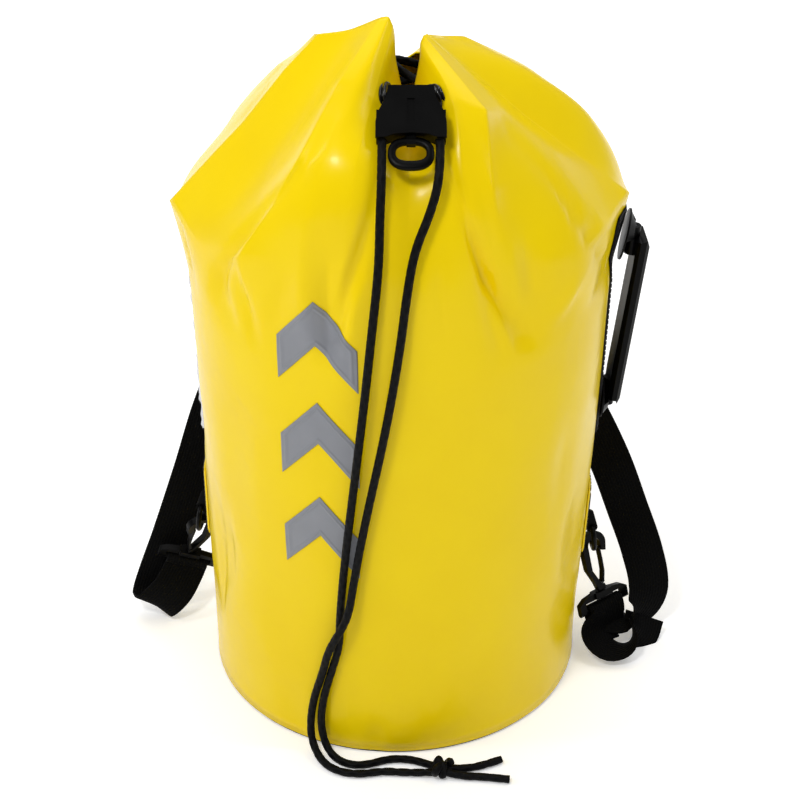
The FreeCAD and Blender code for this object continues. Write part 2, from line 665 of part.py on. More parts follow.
# the gathered loop: up through the lock, in and out of the six eyelets, back down through the lock
LOOP = (
    [lock_place(-BORE, LOCK_BOTTOM), lock_place(-BORE, 12.5), lock_place(-10.4, 6.2, -1.2),
     lock_place(-7.2, 1.2, -5), lock_place(-8.4, -1.6, -10.2)]
    + [neck_point(p) for p in (
        (-14, -58, 417.5), (-22, -50, 413), (-31, -28, 405), (-40, 0, 398), (-49, 22, 394.5),
        (-54.5, 35, 395.2), (-57.5, 45.5, 397.5), (-54, 56, 398), (-44.5, 63.5, 396),
        (-36, 59.5, 394.4), (-28, 51.5, 392), (-15, 42, 389.5), (2, 36.5, 387.5), (16, 42, 388.5),
        (26, 52, 390.5), (34.5, 63, 392.3), (42, 68.5, 394), (54, 64, 395.5), (65, 53, 396),
        (59.5, 34, 390.5), (50, 25, 392), (38, 17, 398), (20, 6, 409), (3, -5, 419), (-4, -14, 422),
        (2, -22, 419), (10, -26.5, 415), (18.5, -33, 412.5), (24.5, -43, 413), (28, -54, 416.5))]
    + [lock_place(8.8, 0.9, -11.7), lock_place(7.2, 2.5, -5.8), lock_place(10.4, 6.8, -1.4),
       lock_place(BORE, 12.5), lock_place(BORE, LOCK_BOTTOM)])

# the two tails: straight below the lock, down over the shoulder, across each other and along the ground
TAIL_LEFT = [lock_place(-BORE, LOCK_BOTTOM), lock_place(-BORE, TAIL_BEND)] + [Vector(*p) for p in (
    (-14, -117, 372), (-15, -125, 347), (-19, -129.7, 312), (-24, -130.2, 263), (-31, -126.8, 200),
    (-36.6, -122.7, 147), (-39.6, -119.8, 108), (-40, -118.6, 86), (-45, -116.9, 66), (-50.3, -114.4, 44),
    (-52.8, -113.2, 24), (-51, -115.4, 9), (-46, -123.5, 2.8), (-36.5, -132, 2.8), (-25, -133, 2.8),
    (-10.4, -127.7, 2.8), (3, -129, 2.8), (13, -134, 2.9), (20, -139.5, 4.5))]
TAIL_RIGHT = [lock_place(BORE, LOCK_BOTTOM), lock_place(BORE, TAIL_BEND)] + [Vector(*p) for p in (
    (13.5, -115.5, 375), (4.5, -122.5, 356), (0, -129.3, 333), (-4, -132.3, 299), (-12, -131.4, 246),
    (-24, -127.2, 182), (-31.2, -125.4, 137), (-34.5, -126.4, 114), (-41, -125.2, 99), (-47, -121, 84),
    (-51, -115.6, 62), (-56.5, -111.7, 41), (-59.2, -109.9, 20), (-58.5, -114, 7), (-53, -128, 2.8),
    (-43, -138, 2.8), (-29.5, -141.4, 2.8), (-14.8, -139, 2.8), (-2, -141, 2.8), (11, -142, 2.9),
    (20, -143.5, 4.5))]
END_UPPER = [Vector(*p) for p in ((24, -140.5, 4.5), (34, -139.5, 2.9), (45.5, -138, 2.8), (59.5, -132, 2.8))]
END_LOWER = [Vector(*p) for p in ((24, -144, 4.5), (33, -146.3, 2.9), (47, -147.4, 2.8), (63, -150.8, 2.8))]
KNOT_PLACE = Vector(21, -141.5, 6.6)


def build_cords():
    feature("drawcord_loop", cord_tube("drawcord_loop", LOOP))
    knot = doc.addObject("Part::Ellipsoid", "cord_knot")
    bind(knot, Radius2=CELL + "knot_length / 2", Radius3=CELL + "knot_width / 2",
         Radius1=CELL + "knot_height / 2")
    knot.Placement = Placement(KNOT_PLACE, Rotation())
    publish(knot, "cord_knot")
    doc.recompute()
    for name, points in (("cord_tail_left", TAIL_LEFT), ("cord_tail_right", TAIL_RIGHT),
                         ("cord_end_a", END_UPPER), ("cord_end_b", END_LOWER)):
        outside = cord_tube(name, points).cut(knot.Shape)
        feature(name, max(outside.Solids, key=lambda s: s.Volume))


# ------------------------------------------------------------------ webbing
def ribbon(stations, thickness):
    """Webbing through stations of (centre, width direction); its faces follow the path."""
    front, back = [], []
    count = len(stations)
    for i, (centre, across) in enumerate(stations):
        ahead, behind = stations[min(i + 1, count - 1)][0], stations[max(i - 1, 0)][0]
        along = (ahead - behind).normalize()
        across = (across - along * across.dot(along)).normalize()
        out = across.cross(along).normalize()
        half = size("webbing_width") / 2
        front.append([centre + across * half * s + out * thickness / 2 for s in (-1, -0.33, 0.33, 1)])
        back.append([centre + across * half * s - out * thickness / 2 for s in (-1, -0.33, 0.33, 1)])
    return solid_from_grids(front, back, False)


def ring_frame(side):
    """Origin on the ring's straight bar: X round the bag, Y up, Z outward."""
    angle, z, _ = RING_PLACES[side]
    stand = PATCH_LIFT + size("patch_thickness") + size("tab_stand_off")
    place, out = skin_at(angle, z, stand)
    across = Vector(0, 0, 1).cross(out).normalize()
    return Placement(place, Rotation(across, out.cross(across), out, "ZXY"))


def ring_tilt(side):
    return Placement(Vector(), Rotation(Vector(1, 0, 0), -RING_PLACES[side][2]))


# which way each hook's length and its webbing bar run, and how far its blade is turned in the base
HOOK_LIES = {
    "right": ((-0.19, 0.24, 0.95), (0.78, 0.55, 0.13), 0.0),
    "left": ((0.266, -0.377, 0.887), (0.959, 0.0, -0.284), 26.0),
}


def hook_frame(side):
    """Origin on the webbing bar, X along the bar, Y up the hook, Z towards the front of the bag."""
    up, along = (Vector(*v) for v in HOOK_LIES[side][:2])
    up.normalize()
    along = (along - up * along.dot(up)).normalize()
    low_wire = (ring_frame(side) * ring_tilt(side)).multVec(Vector(0, -size("ring_reach"), 0))
    hangs = size("hook_height") + size("hook_eye") - size("ring_wire") / 2 - size("ring_slack")
    return low_wire - up * hangs, along, up, along.cross(up)


WRAP = size("base_bar") / 2 + 2 * size("seat_gap") + size("webbing_thickness") / 2


def strap_stations(side):
    place, along, up, front = hook_frame(side)
    wrap = [(place - front * WRAP - up * 7, along), (place - front * WRAP, along)]
    for turn in (45, 90, 135):
        swing = math.radians(turn)
        wrap.append((place - front * WRAP * math.cos(swing) + up * WRAP * math.sin(swing), along))
    wrap += [(place + front * WRAP, along), (place + front * WRAP - up * 6, along)]
    if side == "right":
        anchor, sense = (161.0, 160.4), -1
        down = [((159.4, 11.8, 273), (1, -0.33, 0.05)), ((155.9, 16.8, 248), (1, -0.28, 0.1)),
                ((148.0, 20.0, 212), (1, -0.28, 0.1)),
                ((132.9, 20.0, 172), (1, -0.1, 0.3)), ((118.3, 22.0, 140), (1, -0.1, 0.3)),
                ((106.2, 27.9, 112.6), (1, 0, 0.3)), ((100.8, 39.0, 79.6), (1, 0, 0.1)),
                ((95.4, 47.5, 54), (1, 0, 0.1)), ((91.3, 51.6, 32), (1, 0.1, -0.1)),
                ((88.6, 45.0, 18), (0.9, 0.5, -0.2)), ((87.4, 34.2, 15), (0.8, 0.6, 0.0))]
        after = [((82.0, 18.0, 13.5), (0.8, 0.6, 0.1)), ((78.6, 23.0, 8.5), (0.75, 0.65, -0.1)),
                 ((80.3, 34.6, 6.4), (0.65, 0.75, -0.15)), ((84.2, 47.5, 7.6), (0.8, 0.6, -0.3)),
                 ((87.8, 55.0, 13), (0.95, 0.1, -0.3)), ((89.6, 57.6, 22), (1, 0.05, 0))]
    else:
        anchor, sense = (199.0, 199.6), 1
        down = [((200.6, 11.8, 273), (1, 0.33, -0.05)), ((204.1, 16.8, 248), (1, 0.28, -0.1)),
                ((212.0, 20.0, 212), (1, 0.28, -0.1)),
                ((225.5, 20.0, 175), (1, 0.2, -0.4)), ((237.3, 20.5, 140), (1, 0.1, -0.5)),
                ((247.0, 24.0, 102), (1, 0, -0.5)), ((252.0, 37.3, 55), (1, 0, -0.45)),
                ((254.5, 47.9, 24), (1, -0.1, -0.4)), ((256.5, 51.0, 11.5), (0.84, -0.19, -0.4))]
        after = [((259.6, 33.4, 24), (0.87, -0.12, -0.4)), ((260.4, 45.5, 12.5), (0.84, -0.19, -0.4))]
    # the sewn end lies flat on its patch, turned to follow the bag
    lift = PATCH_LIFT + size("patch_thickness") + 2 * size("seat_gap") + size("webbing_thickness")
    sewn = [(skin_at(angle, z, lift)[0], Vector(1, sense * 0.35, 0)) for angle, z in
            zip(anchor, (303, 288))]
    down = [(beside_bag(*place_), Vector(*across)) for place_, across in down]
    after = [(beside_bag(*place_), Vector(*across)) for place_, across in after]
    if side == "left":
        # the strap comes up from its low fold to the front of the bar and over it
        wrap.reverse()
        return sewn + down + after[::-1] + wrap
    return sewn + down + wrap + after


def build_straps():
    for side in ("right", "left"):
        feature("strap_" + side, ribbon(strap_stations(side), size("webbing_thickness")))


# ------------------------------------------------------------------ swivel hooks
def frame_placement(side):
    place, along, up, front = hook_frame(side)
    return Placement(place, Rotation(along, up, front, "ZXY"))




def build_hook_base(side):
    """Flat frame with a webbing slot; the hook's shank turns in its raised boss."""
    body = doc.addObject("PartDesign::Body", "hook_base_" + side)
    half, slot = size("base_width") / 2, size("base_slot_width") / 2
    bar = size("base_bar") / 2
    slot_top = bar + size("base_slot_height")
    deep = size("base_depth") / 2
    frame = sketch_on(body, "base_outline", "XY_Plane", -bar)
    add_outline(frame, [(-half, -bar), (-half, slot_top), (-half + 5, slot_top + 3.2), (-7, slot_top + 4.6),
                        (7, slot_top + 4.6), (half - 5, slot_top + 3.2), (half, slot_top), (half, -bar)])
    pad_feature(body, frame, "base_frame", CELL + "base_bar")
    boss = sketch_on(body, "boss_outline", "XY_Plane", -deep)
    add_outline(boss, [(-7, slot_top + 0.4), (-7, slot_top + 4.6), (7, slot_top + 4.6), (7, slot_top + 0.4)])
    pad_feature(body, boss, "base_boss", CELL + "base_depth")
    opening = sketch_on(body, "slot_outline", "XY_Plane", deep + 1)
    add_outline(opening, [(-slot, bar), (-slot, slot_top), (slot, slot_top), (slot, bar)])
    pocket_feature(body, opening, "webbing_slot", CELL + "base_depth + 2")
    bore = sketch_on(body, "shank_bore_circle", "XZ_Plane", -20)
    bore.addGeometry(Part.Circle(Vector(0, 0, 0), Vector(0, 0, 1), size("shank_diameter") / 2 - 0.55 + 0.3))
    pocket = pocket_feature(body, bore, "shank_bore", "16", True)
    doc.recompute()
    # the bar that the webbing goes round is rounded
    long_edges = ["Edge%d" % (i + 1) for i, e in enumerate(body.Shape.Edges)
                  if e.Length > 2 * slot - 0.1 and e.BoundBox.YMax < bar + 0.1
                  and abs(e.BoundBox.XLength - e.Length) < 0.01]
    rounding = body.newObject("PartDesign::Fillet", "bar_rounding")
    rounding.Base = (pocket, long_edges)
    rounding.Radius = bar * 0.8
    doc.recompute()
    body.Placement = frame_placement(side)
    publish(body, "hook_base_" + side)


def build_hook(side):
    """Shank with a retaining head, spine, rounded nose and tip, 4.6 thick."""
    turn = 1 if side == "right" else -1
    thick, eye, bar = size("hook_thickness"), size("hook_eye"), size("hook_bar")
    slot_top = size("base_bar") / 2 + size("base_slot_height")
    base_top = slot_top + 4.6
    crown = size("hook_height")
    outer = eye + bar
    points = [(-2.7 * turn, base_top + 0.4), (-4.4 * turn, base_top + 6), (-9.2 * turn, base_top + 17)]
    top = Vector(0, crown, 0)
    edges = []

    def line(a, b):
        edges.append(Part.LineSegment(Vector(a[0], a[1], 0), Vector(b[0], b[1], 0)).toShape())

    line(points[0], points[1])
    line(points[1], points[2])
    line(points[2], (-outer * turn, crown))
    edges.append(Part.Arc(Vector(-outer * turn, crown, 0), top + Vector(0, outer, 0),
                          Vector(outer * turn, crown, 0)).toShape())
    line((outer * turn, crown), (8.6 * turn, crown - 6.4))
    line((8.6 * turn, crown - 6.4), (5.4 * turn, crown - 5.4))
    line((5.4 * turn, crown - 5.4), (eye * turn, crown))
    edges.append(Part.Arc(Vector(eye * turn, crown, 0), top + Vector(0, eye, 0),
                          Vector(-eye * turn, crown, 0)).toShape())
    line((-eye * turn, crown), (-eye * turn, base_top + 16))
    line((-eye * turn, base_top + 16), (-0.6 * turn, base_top + 6.6))
    line((-0.6 * turn, base_top + 6.6), (0.6 * turn, base_top + 4.2))
    line((0.6 * turn, base_top + 4.2), (2.9 * turn, base_top + 4.0))
    line((2.9 * turn, base_top + 4.0), (2.9 * turn, base_top + 0.4))
    line((2.9 * turn, base_top + 0.4), (-2.7 * turn, base_top + 0.4))
    face = Part.Face(Part.Wire(Part.__sortEdges__(edges)))
    blade = face.extrude(Vector(0, 0, thick))
    blade.translate(Vector(0, 0, -thick / 2))
    shank_radius = size("shank_diameter") / 2 - 0.55
    shank = Part.makeCylinder(shank_radius, 6.4, Vector(0, slot_top - 0.9, 0), Vector(0, 1, 0))
    head = Part.makeCylinder(shank_radius + 0.9, 0.7, Vector(0, slot_top - 1.0, 0), Vector(0, 1, 0))
    hook = blade.fuse([shank, head]).removeSplitter()
    turned = frame_placement(side) * Placement(Vector(), Rotation(Vector(0, 1, 0), HOOK_LIES[side][2]))
    feature("hook_" + side, hook, turned)
    # springy gate leaf from the shank up to the inside of the tip
    foot = base_top + 4.6
    pivot = foot + 1.2
    leaf = [(1.5, pivot), (3.2, pivot), (4.9, foot + 8), (5.0, foot + 16), (4.75, crown - 3.2),
            (3.25, crown - 3.2), (3.5, foot + 16), (3.3, foot + 8.4)]
    wire = Part.makePolygon([Vector(x * turn, y, 0) for x, y in leaf + leaf[:1]])
    gate = Part.Face(wire).extrude(Vector(0, 0, thick - 0.8))
    gate.translate(Vector(0, 0, -thick / 2 + 0.4))
    root = Part.makeCylinder(1.1, thick - 0.8, Vector(2.25 * turn, pivot, -thick / 2 + 0.4))
    feature("gate_" + side, gate.fuse(root).removeSplitter(), turned)


# ------------------------------------------------------------------ rings on the bag
def build_ring(side):
    wire, reach, half = size("ring_wire") / 2, size("ring_reach"), size("ring_span") / 2
    bend = 5.0
    tilt = ring_tilt(side)
    path = [Part.LineSegment(Vector(-half + bend, 0, 0), Vector(half - bend, 0, 0)).toShape()]
    low = reach - half
    corner = bend * (1 - math.sqrt(0.5))
    path.append(Part.Arc(Vector(half - bend, 0, 0), Vector(half - corner, -corner, 0),
                         Vector(half, -bend, 0)).toShape())
    path.append(Part.LineSegment(Vector(half, -bend, 0), Vector(half, -low, 0)).toShape())
    path.append(Part.Arc(Vector(half, -low, 0), Vector(0, -reach, 0), Vector(-half, -low, 0)).toShape())
    path.append(Part.LineSegment(Vector(-half, -low, 0), Vector(-half, -bend, 0)).toShape())
    path.append(Part.Arc(Vector(-half, -bend, 0), Vector(-half + corner, -corner, 0),
                         Vector(-half + bend, 0, 0)).toShape())
    spine = Part.Wire(path)
    section = Part.Wire(Part.makeCircle(wire, Vector(-half + bend, 0, 0), Vector(1, 0, 0)))
    ring = spine.makePipeShell([section], True, False)
    feature("d_ring_" + side, ring, ring_frame(side) * tilt)
    # webbing tab: a tongue stitched to the patch and a loop round the ring's bar
    width, stand = size("tab_width") / 2 - 5.0 + 2.0, size("tab_stand_off")
    bore, thick = wire + 0.4, size("webbing_thickness")
    rise = 26.0
    loop = Part.makeCylinder(bore + thick, 2 * width, Vector(-width, 0, 0), Vector(1, 0, 0))
    tongue = Part.makeBox(2 * width, rise, thick, Vector(-width, 0, -stand + 0.3))
    web = Part.makeBox(2 * width, thick, stand - 0.3, Vector(-width, bore, -stand + 0.3))
    tab = loop.fuse([tongue, web]).removeSplitter()
    tab = tab.cut(Part.makeCylinder(bore, 2 * width + 2, Vector(-width - 1, 0, 0), Vector(1, 0, 0)))
    feature("ring_tab_" + side, tab, ring_frame(side))


# ------------------------------------------------------------------ strap adjusters
def build_adjuster(side):
    """Three-bar slide on the straight of the strap behind the bag."""
    stations = strap_stations(side)
    low, high = stations[4][0], stations[3][0]
    middle = (low + high) * 0.5
    along = (high - low).normalize()
    across = stations[4][1] + stations[3][1]
    across = (across - along * across.dot(along)).normalize()
    half, tall, bar = size("adjuster_width") / 2, size("adjuster_height") / 2, size("adjuster_bar")
    slot = size("webbing_width") / 2 + 0.6
    near = size("webbing_thickness") / 2 + 3 * size("seat_gap")
    thick = 2.2
    frame = Part.makeBox(2 * half, 2 * tall, thick, Vector(-half, -tall, near))
    for y in (-tall + bar, bar / 2):
        frame = frame.cut(Part.makeBox(2 * slot, tall - 1.5 * bar, thick, Vector(-slot, y, near)))
    # cheeks past the webbing's edges and a bar behind it
    for x in (-half, slot):
        frame = frame.fuse(Part.makeBox(half - slot, 2 * tall, 2 * near + 1.4, Vector(x, -tall, -near - 1.4)))
    frame = frame.fuse(Part.makeBox(2 * half, bar, 1.4, Vector(-half, -bar / 2, -near - 1.4)))
    frame = frame.removeSplitter()
    feature("adjuster_" + side, frame, Placement(middle, Rotation(across, along, across.cross(along), "ZXY")))


# ------------------------------------------------------------------ carry handle
def handle_frame():
    """Origin at the lower pivot; Z runs to the upper pivot, X points away from the bag."""
    lift = (PATCH_LIFT + size("patch_thickness") + size("seat_gap") + size("mount_thickness")
            + size("knuckle_gap") + size("knuckle_radius"))
    low = skin_at(90, size("handle_low"), lift)[0]
    high = skin_at(90, size("handle_high"), lift)[0]
    up = (high - low).normalize()
    out = Vector(0, 1, 0).cross(up).normalize()
    return Placement(low, Rotation(out, up.cross(out), up, "ZXY")), (high - low).Length


HANDLE_FRAME, HANDLE_SPAN = handle_frame()
EYE_HEIGHT = 11.0                # each end of the grip turns on this much of its pin


def build_grip():
    """Angular bar, bowed out from the pivots, with an eye at each end."""
    span, knuckle, depth = HANDLE_SPAN, size("knuckle_radius"), size("grip_depth")
    low, high = size("grip_bow_low"), size("grip_bow_high")
    body = doc.addObject("PartDesign::Body", "grip_core")
    profile = sketch_on(body, "grip_profile", "XZ_Plane")
    add_outline(profile, [(low, 0.4), (low + depth - 2.2, -3.0), (low + depth, 1.0),
                          (high + depth + 0.6, span - 3.0), (high + depth - 1.2, span + 1.6),
                          (high, span - 0.4), (high, span - 16), (low, 16)])
    bar = pad_feature(body, profile, "grip_bar", CELL + "grip_width")
    bar.SideType = "Symmetric"
    doc.recompute()
    edges = ["Edge%d" % (i + 1) for i, edge in enumerate(body.Shape.Edges) if edge.Length > span * 0.5]
    chamfer = body.newObject("PartDesign::Chamfer", "grip_edges")
    chamfer.Base = (bar, edges)
    chamfer.Size = 2.4
    doc.recompute()
    shape = body.Shape
    pin = size("pin_diameter") / 2
    for start in (0.4, span - 0.4 - EYE_HEIGHT):
        shape = shape.fuse(Part.makeCylinder(knuckle, EYE_HEIGHT, Vector(0, 0, start)))
    for start in (-0.5, span - EYE_HEIGHT):
        shape = shape.cut(Part.makeCylinder(pin + 0.15, EYE_HEIGHT + 0.5, Vector(0, 0, start)))
    # beyond its eyes the bar's skirt stays clear of the ears
    for start in (-10.0, span + 0.2):
        shape = shape.cut(Part.makeBox(knuckle * 2 + 0.4, 60, 9.8, Vector(-knuckle - 0.2, -30, start)))
    feature("handle_grip", shape.removeSplitter(), HANDLE_FRAME)


def build_mount(name):
    """Disc on the patch with a half dome that carries the pin beyond the end of the grip."""
    knuckle, radius, pin = size("knuckle_radius"), size("mount_radius"), size("pin_diameter") / 2
    tall, thick, dome = size("knuckle_height"), size("mount_thickness"), size("mount_dome")
    upper = name == "upper"
    ear_low = HANDLE_SPAN + 0.3 if upper else -tall - 0.3
    seat, out = skin_at(90, size("handle_high" if upper else "handle_low"),
                        PATCH_LIFT + size("patch_thickness") + size("seat_gap"))
    across = Vector(0, 1, 0)
    disc_frame = Placement(seat, Rotation(across, out.cross(across), out, "ZXY"))
    disc = Part.makeCylinder(radius, thick)
    cap = Part.makeCone(radius - 1.0, radius - 6.0, dome, Vector(0, 0, thick))
    keep = Part.makeBox(80, 40, 40, Vector(-40, 1.3, -1) if upper else Vector(-40, -41.3, -1))
    plate = disc.fuse(cap.common(keep))
    plate.Placement = disc_frame
    ear = Part.makeCylinder(knuckle, tall, Vector(0, 0, ear_low))
    half = knuckle - 0.4
    ear = ear.fuse(Part.makeBox(knuckle + 1.5, 2 * half, tall, Vector(-knuckle - 1.5, -half, ear_low)))
    ear.Placement = HANDLE_FRAME
    # nothing of the ear reaches behind the disc
    behind = Part.makeBox(80, 80, 30, Vector(-40, -40, -30))
    behind.Placement = disc_frame
    bore = Part.makeCylinder(pin + 0.1, 60, Vector(0, 0, ear_low - 20))
    bore.Placement = HANDLE_FRAME
    swept = Part.makeCylinder(knuckle + 0.3, EYE_HEIGHT + 3, Vector(0, 0, ear_low - EYE_HEIGHT - 3.0)
                              if upper else Vector(0, 0, ear_low + tall))
    swept.Placement = HANDLE_FRAME
    mount = plate.cut(swept).fuse(ear).cut(behind).cut(bore)
    feature("handle_mount_" + name, max(mount.removeSplitter().Solids, key=lambda solid: solid.Volume))
    pin_item = doc.addObject("Part::Cylinder", "handle_pin_" + name)
    bind(pin_item, Radius=CELL + "pin_diameter / 2", Height=CELL + "knuckle_height + 8.7")
    pin_low = HANDLE_SPAN - 8.4 if upper else ear_low
    pin_item.Placement = HANDLE_FRAME * Placement(Vector(0, 0, pin_low), Rotation())
    publish(pin_item, "handle_pin_" + name)


build_bag()
build_base()
build_eyelets()
build_chevrons()
build_pad()
build_patches()
build_lock()
build_cords()
build_straps()
for hand in ("right", "left"):
    build_hook_base(hand)
    build_hook(hand)
    build_ring(hand)
    build_adjuster(hand)
build_grip()
build_mount("lower")
build_mount("upper")

doc.recompute()
faults = [item.Name for item in doc.Objects if {"Invalid", "Error"} & set(item.State)]
for item in sub_parts:
    if item.Shape.isNull() or not item.Shape.isValid() or item.Shape.Volume <= 0:
        faults.append(item.Label)
if faults:
    raise RuntimeError("objects that failed: " + ", ".join(faults))

os.makedirs("parts", exist_ok=True)
for item in sub_parts:
    item.Shape.exportStep("parts/%s.step" % item.Label)
    print("%-20s %2d solid(s) %10.1f mm3" % (item.Label, len(item.Shape.Solids), item.Shape.Volume))
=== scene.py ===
# %% [markdown]
# A drawstring dry duffel of glossy coated tarpaulin, standing on its base with its neck gathered by a
# braided cord. The script makes the soft parts (skin, pad, webbing, cords) as meshes of their own round
# the rigid fittings, which come from the CAD frame. Everything is worked out in millimetres, the way a
# pattern cutter would, and turned to metres only when a mesh is made.

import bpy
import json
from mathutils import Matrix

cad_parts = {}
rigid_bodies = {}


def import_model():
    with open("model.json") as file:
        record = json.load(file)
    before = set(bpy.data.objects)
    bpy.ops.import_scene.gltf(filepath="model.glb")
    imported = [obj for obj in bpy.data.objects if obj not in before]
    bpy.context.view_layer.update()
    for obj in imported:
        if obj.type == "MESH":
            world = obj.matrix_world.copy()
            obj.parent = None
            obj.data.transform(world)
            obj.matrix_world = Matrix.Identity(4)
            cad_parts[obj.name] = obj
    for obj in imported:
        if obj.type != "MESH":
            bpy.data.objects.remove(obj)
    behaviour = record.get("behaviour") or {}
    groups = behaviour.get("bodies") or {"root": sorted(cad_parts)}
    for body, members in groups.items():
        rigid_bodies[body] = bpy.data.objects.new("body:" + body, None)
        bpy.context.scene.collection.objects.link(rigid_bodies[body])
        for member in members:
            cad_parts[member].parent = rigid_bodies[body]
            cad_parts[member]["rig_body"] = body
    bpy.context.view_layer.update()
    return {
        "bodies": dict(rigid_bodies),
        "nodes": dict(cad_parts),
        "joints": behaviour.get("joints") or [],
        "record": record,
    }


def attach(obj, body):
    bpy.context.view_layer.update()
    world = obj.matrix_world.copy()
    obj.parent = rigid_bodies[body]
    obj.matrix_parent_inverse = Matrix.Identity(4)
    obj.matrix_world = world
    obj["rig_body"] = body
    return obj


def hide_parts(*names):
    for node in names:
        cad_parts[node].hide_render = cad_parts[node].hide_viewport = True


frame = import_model()

import json
import math

import bmesh
import bpy
import numpy as np
from mathutils import Matrix, Vector, noise

MM = 0.001

# %% [markdown]
# Every piece starts as a list of points and faces. One helper turns millimetres to metres, links the
# object and shades it smooth. A second one gives an object its body and hides the CAD nodes it stands for.

# %% Mesh helpers


def mesh_piece(name, points, faces, material, uvs=None, smooth=True):
    mesh = bpy.data.meshes.new(name)
    mesh.from_pydata([tuple(np.asarray(p) * MM) for p in points], [], faces)
    if uvs is not None:
        layer = mesh.uv_layers.new(name="along")
        for loop in mesh.loops:
            layer.data[loop.index].uv = uvs[loop.vertex_index]
    mesh.polygons.foreach_set("use_smooth", [smooth] * len(mesh.polygons))
    mesh.materials.append(material)
    mesh.update()
    piece = bpy.data.objects.new(name, mesh)
    bpy.context.scene.collection.objects.link(piece)
    return piece


def belongs(piece, body, slot, *nodes):
    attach(piece, body)
    if nodes:
        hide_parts(*nodes)
    return piece


def apply_modifiers(piece):
    depsgraph = bpy.context.evaluated_depsgraph_get()
    mesh = bpy.data.meshes.new_from_object(piece.evaluated_get(depsgraph))
    piece.modifiers.clear()
    piece.data = mesh
    return piece


# %% [markdown]
# Node materials are built with two small functions: one turns an sRGB hex colour to the linear numbers
# that the shader expects, the other adds a node with its settings and links in a single line.

# %% Material helpers


def linear(hex_colour):
    channels = [int(hex_colour[i:i + 2], 16) / 255 for i in (1, 3, 5)]
    return [c / 12.92 if c <= 0.04045 else ((c + 0.055) / 1.055) ** 2.4 for c in channels] + [1.0]


def add(tree, kind, settings=None, **links):
    node = tree.nodes.new(kind)
    for key, value in (settings or {}).items():
        if key in node.inputs:
            node.inputs[key].default_value = value
        else:
            setattr(node, key, value)
    for key, source in links.items():
        name = key.replace("_", " ")
        socket = node.inputs[int(key[1:])] if key[0] == "i" and key[1:].isdigit() else node.inputs[name]
        tree.links.new(source, socket)
    return node


def new_material(name, shader):
    material = bpy.data.materials.new(name)
    material.use_nodes = True
    tree = material.node_tree
    surface = tree.nodes["Principled BSDF"]
    for key, value in shader.items():
        surface.inputs[key].default_value = value
    return material, tree, surface


def mixed(tree, factor, low, high):
    mix = add(tree, "ShaderNodeMix", {"data_type": "RGBA"})
    tree.links.new(factor, mix.inputs["Factor"])
    mix.inputs[6].default_value, mix.inputs[7].default_value = linear(low), linear(high)
    return mix.outputs[2]


def maths(tree, operation, value, constant=0.0):
    node = add(tree, "ShaderNodeMath", {"operation": operation}, i0=value)
    node.inputs[1].default_value = constant
    return node.outputs[0]


# %% [markdown]
# The skin is PVC-coated polyester tarpaulin, calendered and glossy. Light gives it a saturated yellow
# that goes slightly olive in the shade, broad soft highlights, and a faint relief where the 1 mm weave
# below the coating shows through. Large slack ripples come from a stretched noise.

# %% Coated tarpaulin
YELLOW, DEEP_YELLOW = "#F0D200", "#EAC800"
tarpaulin, tree, surface = new_material("pvc_coated_tarpaulin", {
    "Roughness": 0.27, "IOR": 1.5, "Coat Weight": 0.05, "Coat Roughness": 0.07, "Specular IOR Level": 0.12})
place = add(tree, "ShaderNodeTexCoord").outputs["Object"]
tint = add(tree, "ShaderNodeTexNoise", {"Scale": 1 / (60 * MM), "Detail": 2.0}, Vector=place)
tree.links.new(mixed(tree, tint.outputs["Fac"], YELLOW, DEEP_YELLOW), surface.inputs["Base Color"])
ripple = add(tree, "ShaderNodeTexNoise", {"Scale": 1 / (26 * MM), "Detail": 2.5, "Roughness": 0.45,
                                          "Distortion": 0.6}, Vector=place)
peel = add(tree, "ShaderNodeTexNoise", {"Scale": 1 / (1.6 * MM), "Detail": 1.0}, Vector=place)
broad = add(tree, "ShaderNodeBump", {"Strength": 0.35, "Distance": 1.6 * MM}, Height=ripple.outputs["Fac"])
fine = add(tree, "ShaderNodeBump", {"Strength": 0.10, "Distance": 0.12 * MM}, Height=peel.outputs["Fac"],
           Normal=broad.outputs["Normal"])
tree.links.new(fine.outputs["Normal"], surface.inputs["Normal"])
tree.links.new(fine.outputs["Normal"], surface.inputs["Coat Normal"])

# %% [markdown]
# The fittings are injection moulded acetal: near black, satin, with a very fine grain from the tool.

# %% Moulded acetal and the other hard finishes


def moulded(name, low, high, roughness, grain_mm, strength, **shader):
    material, tree, surface = new_material(name, {"Roughness": roughness, **shader})
    place = add(tree, "ShaderNodeTexCoord").outputs["Object"]
    grain = add(tree, "ShaderNodeTexNoise", {"Scale": 1 / (grain_mm * MM), "Detail": 2.0}, Vector=place)
    patch = add(tree, "ShaderNodeTexNoise", {"Scale": 1 / (14 * MM), "Detail": 3.0}, Vector=place)
    tree.links.new(mixed(tree, patch.outputs["Fac"], low, high), surface.inputs["Base Color"])
    rough = add(tree, "ShaderNodeMapRange", {"To Min": roughness - 0.06, "To Max": roughness + 0.08},
                Value=patch.outputs["Fac"])
    tree.links.new(rough.outputs["Result"], surface.inputs["Roughness"])
    bump = add(tree, "ShaderNodeBump", {"Strength": strength, "Distance": 0.1 * MM},
               Height=grain.outputs["Fac"])
    tree.links.new(bump.outputs["Normal"], surface.inputs["Normal"])
    return material


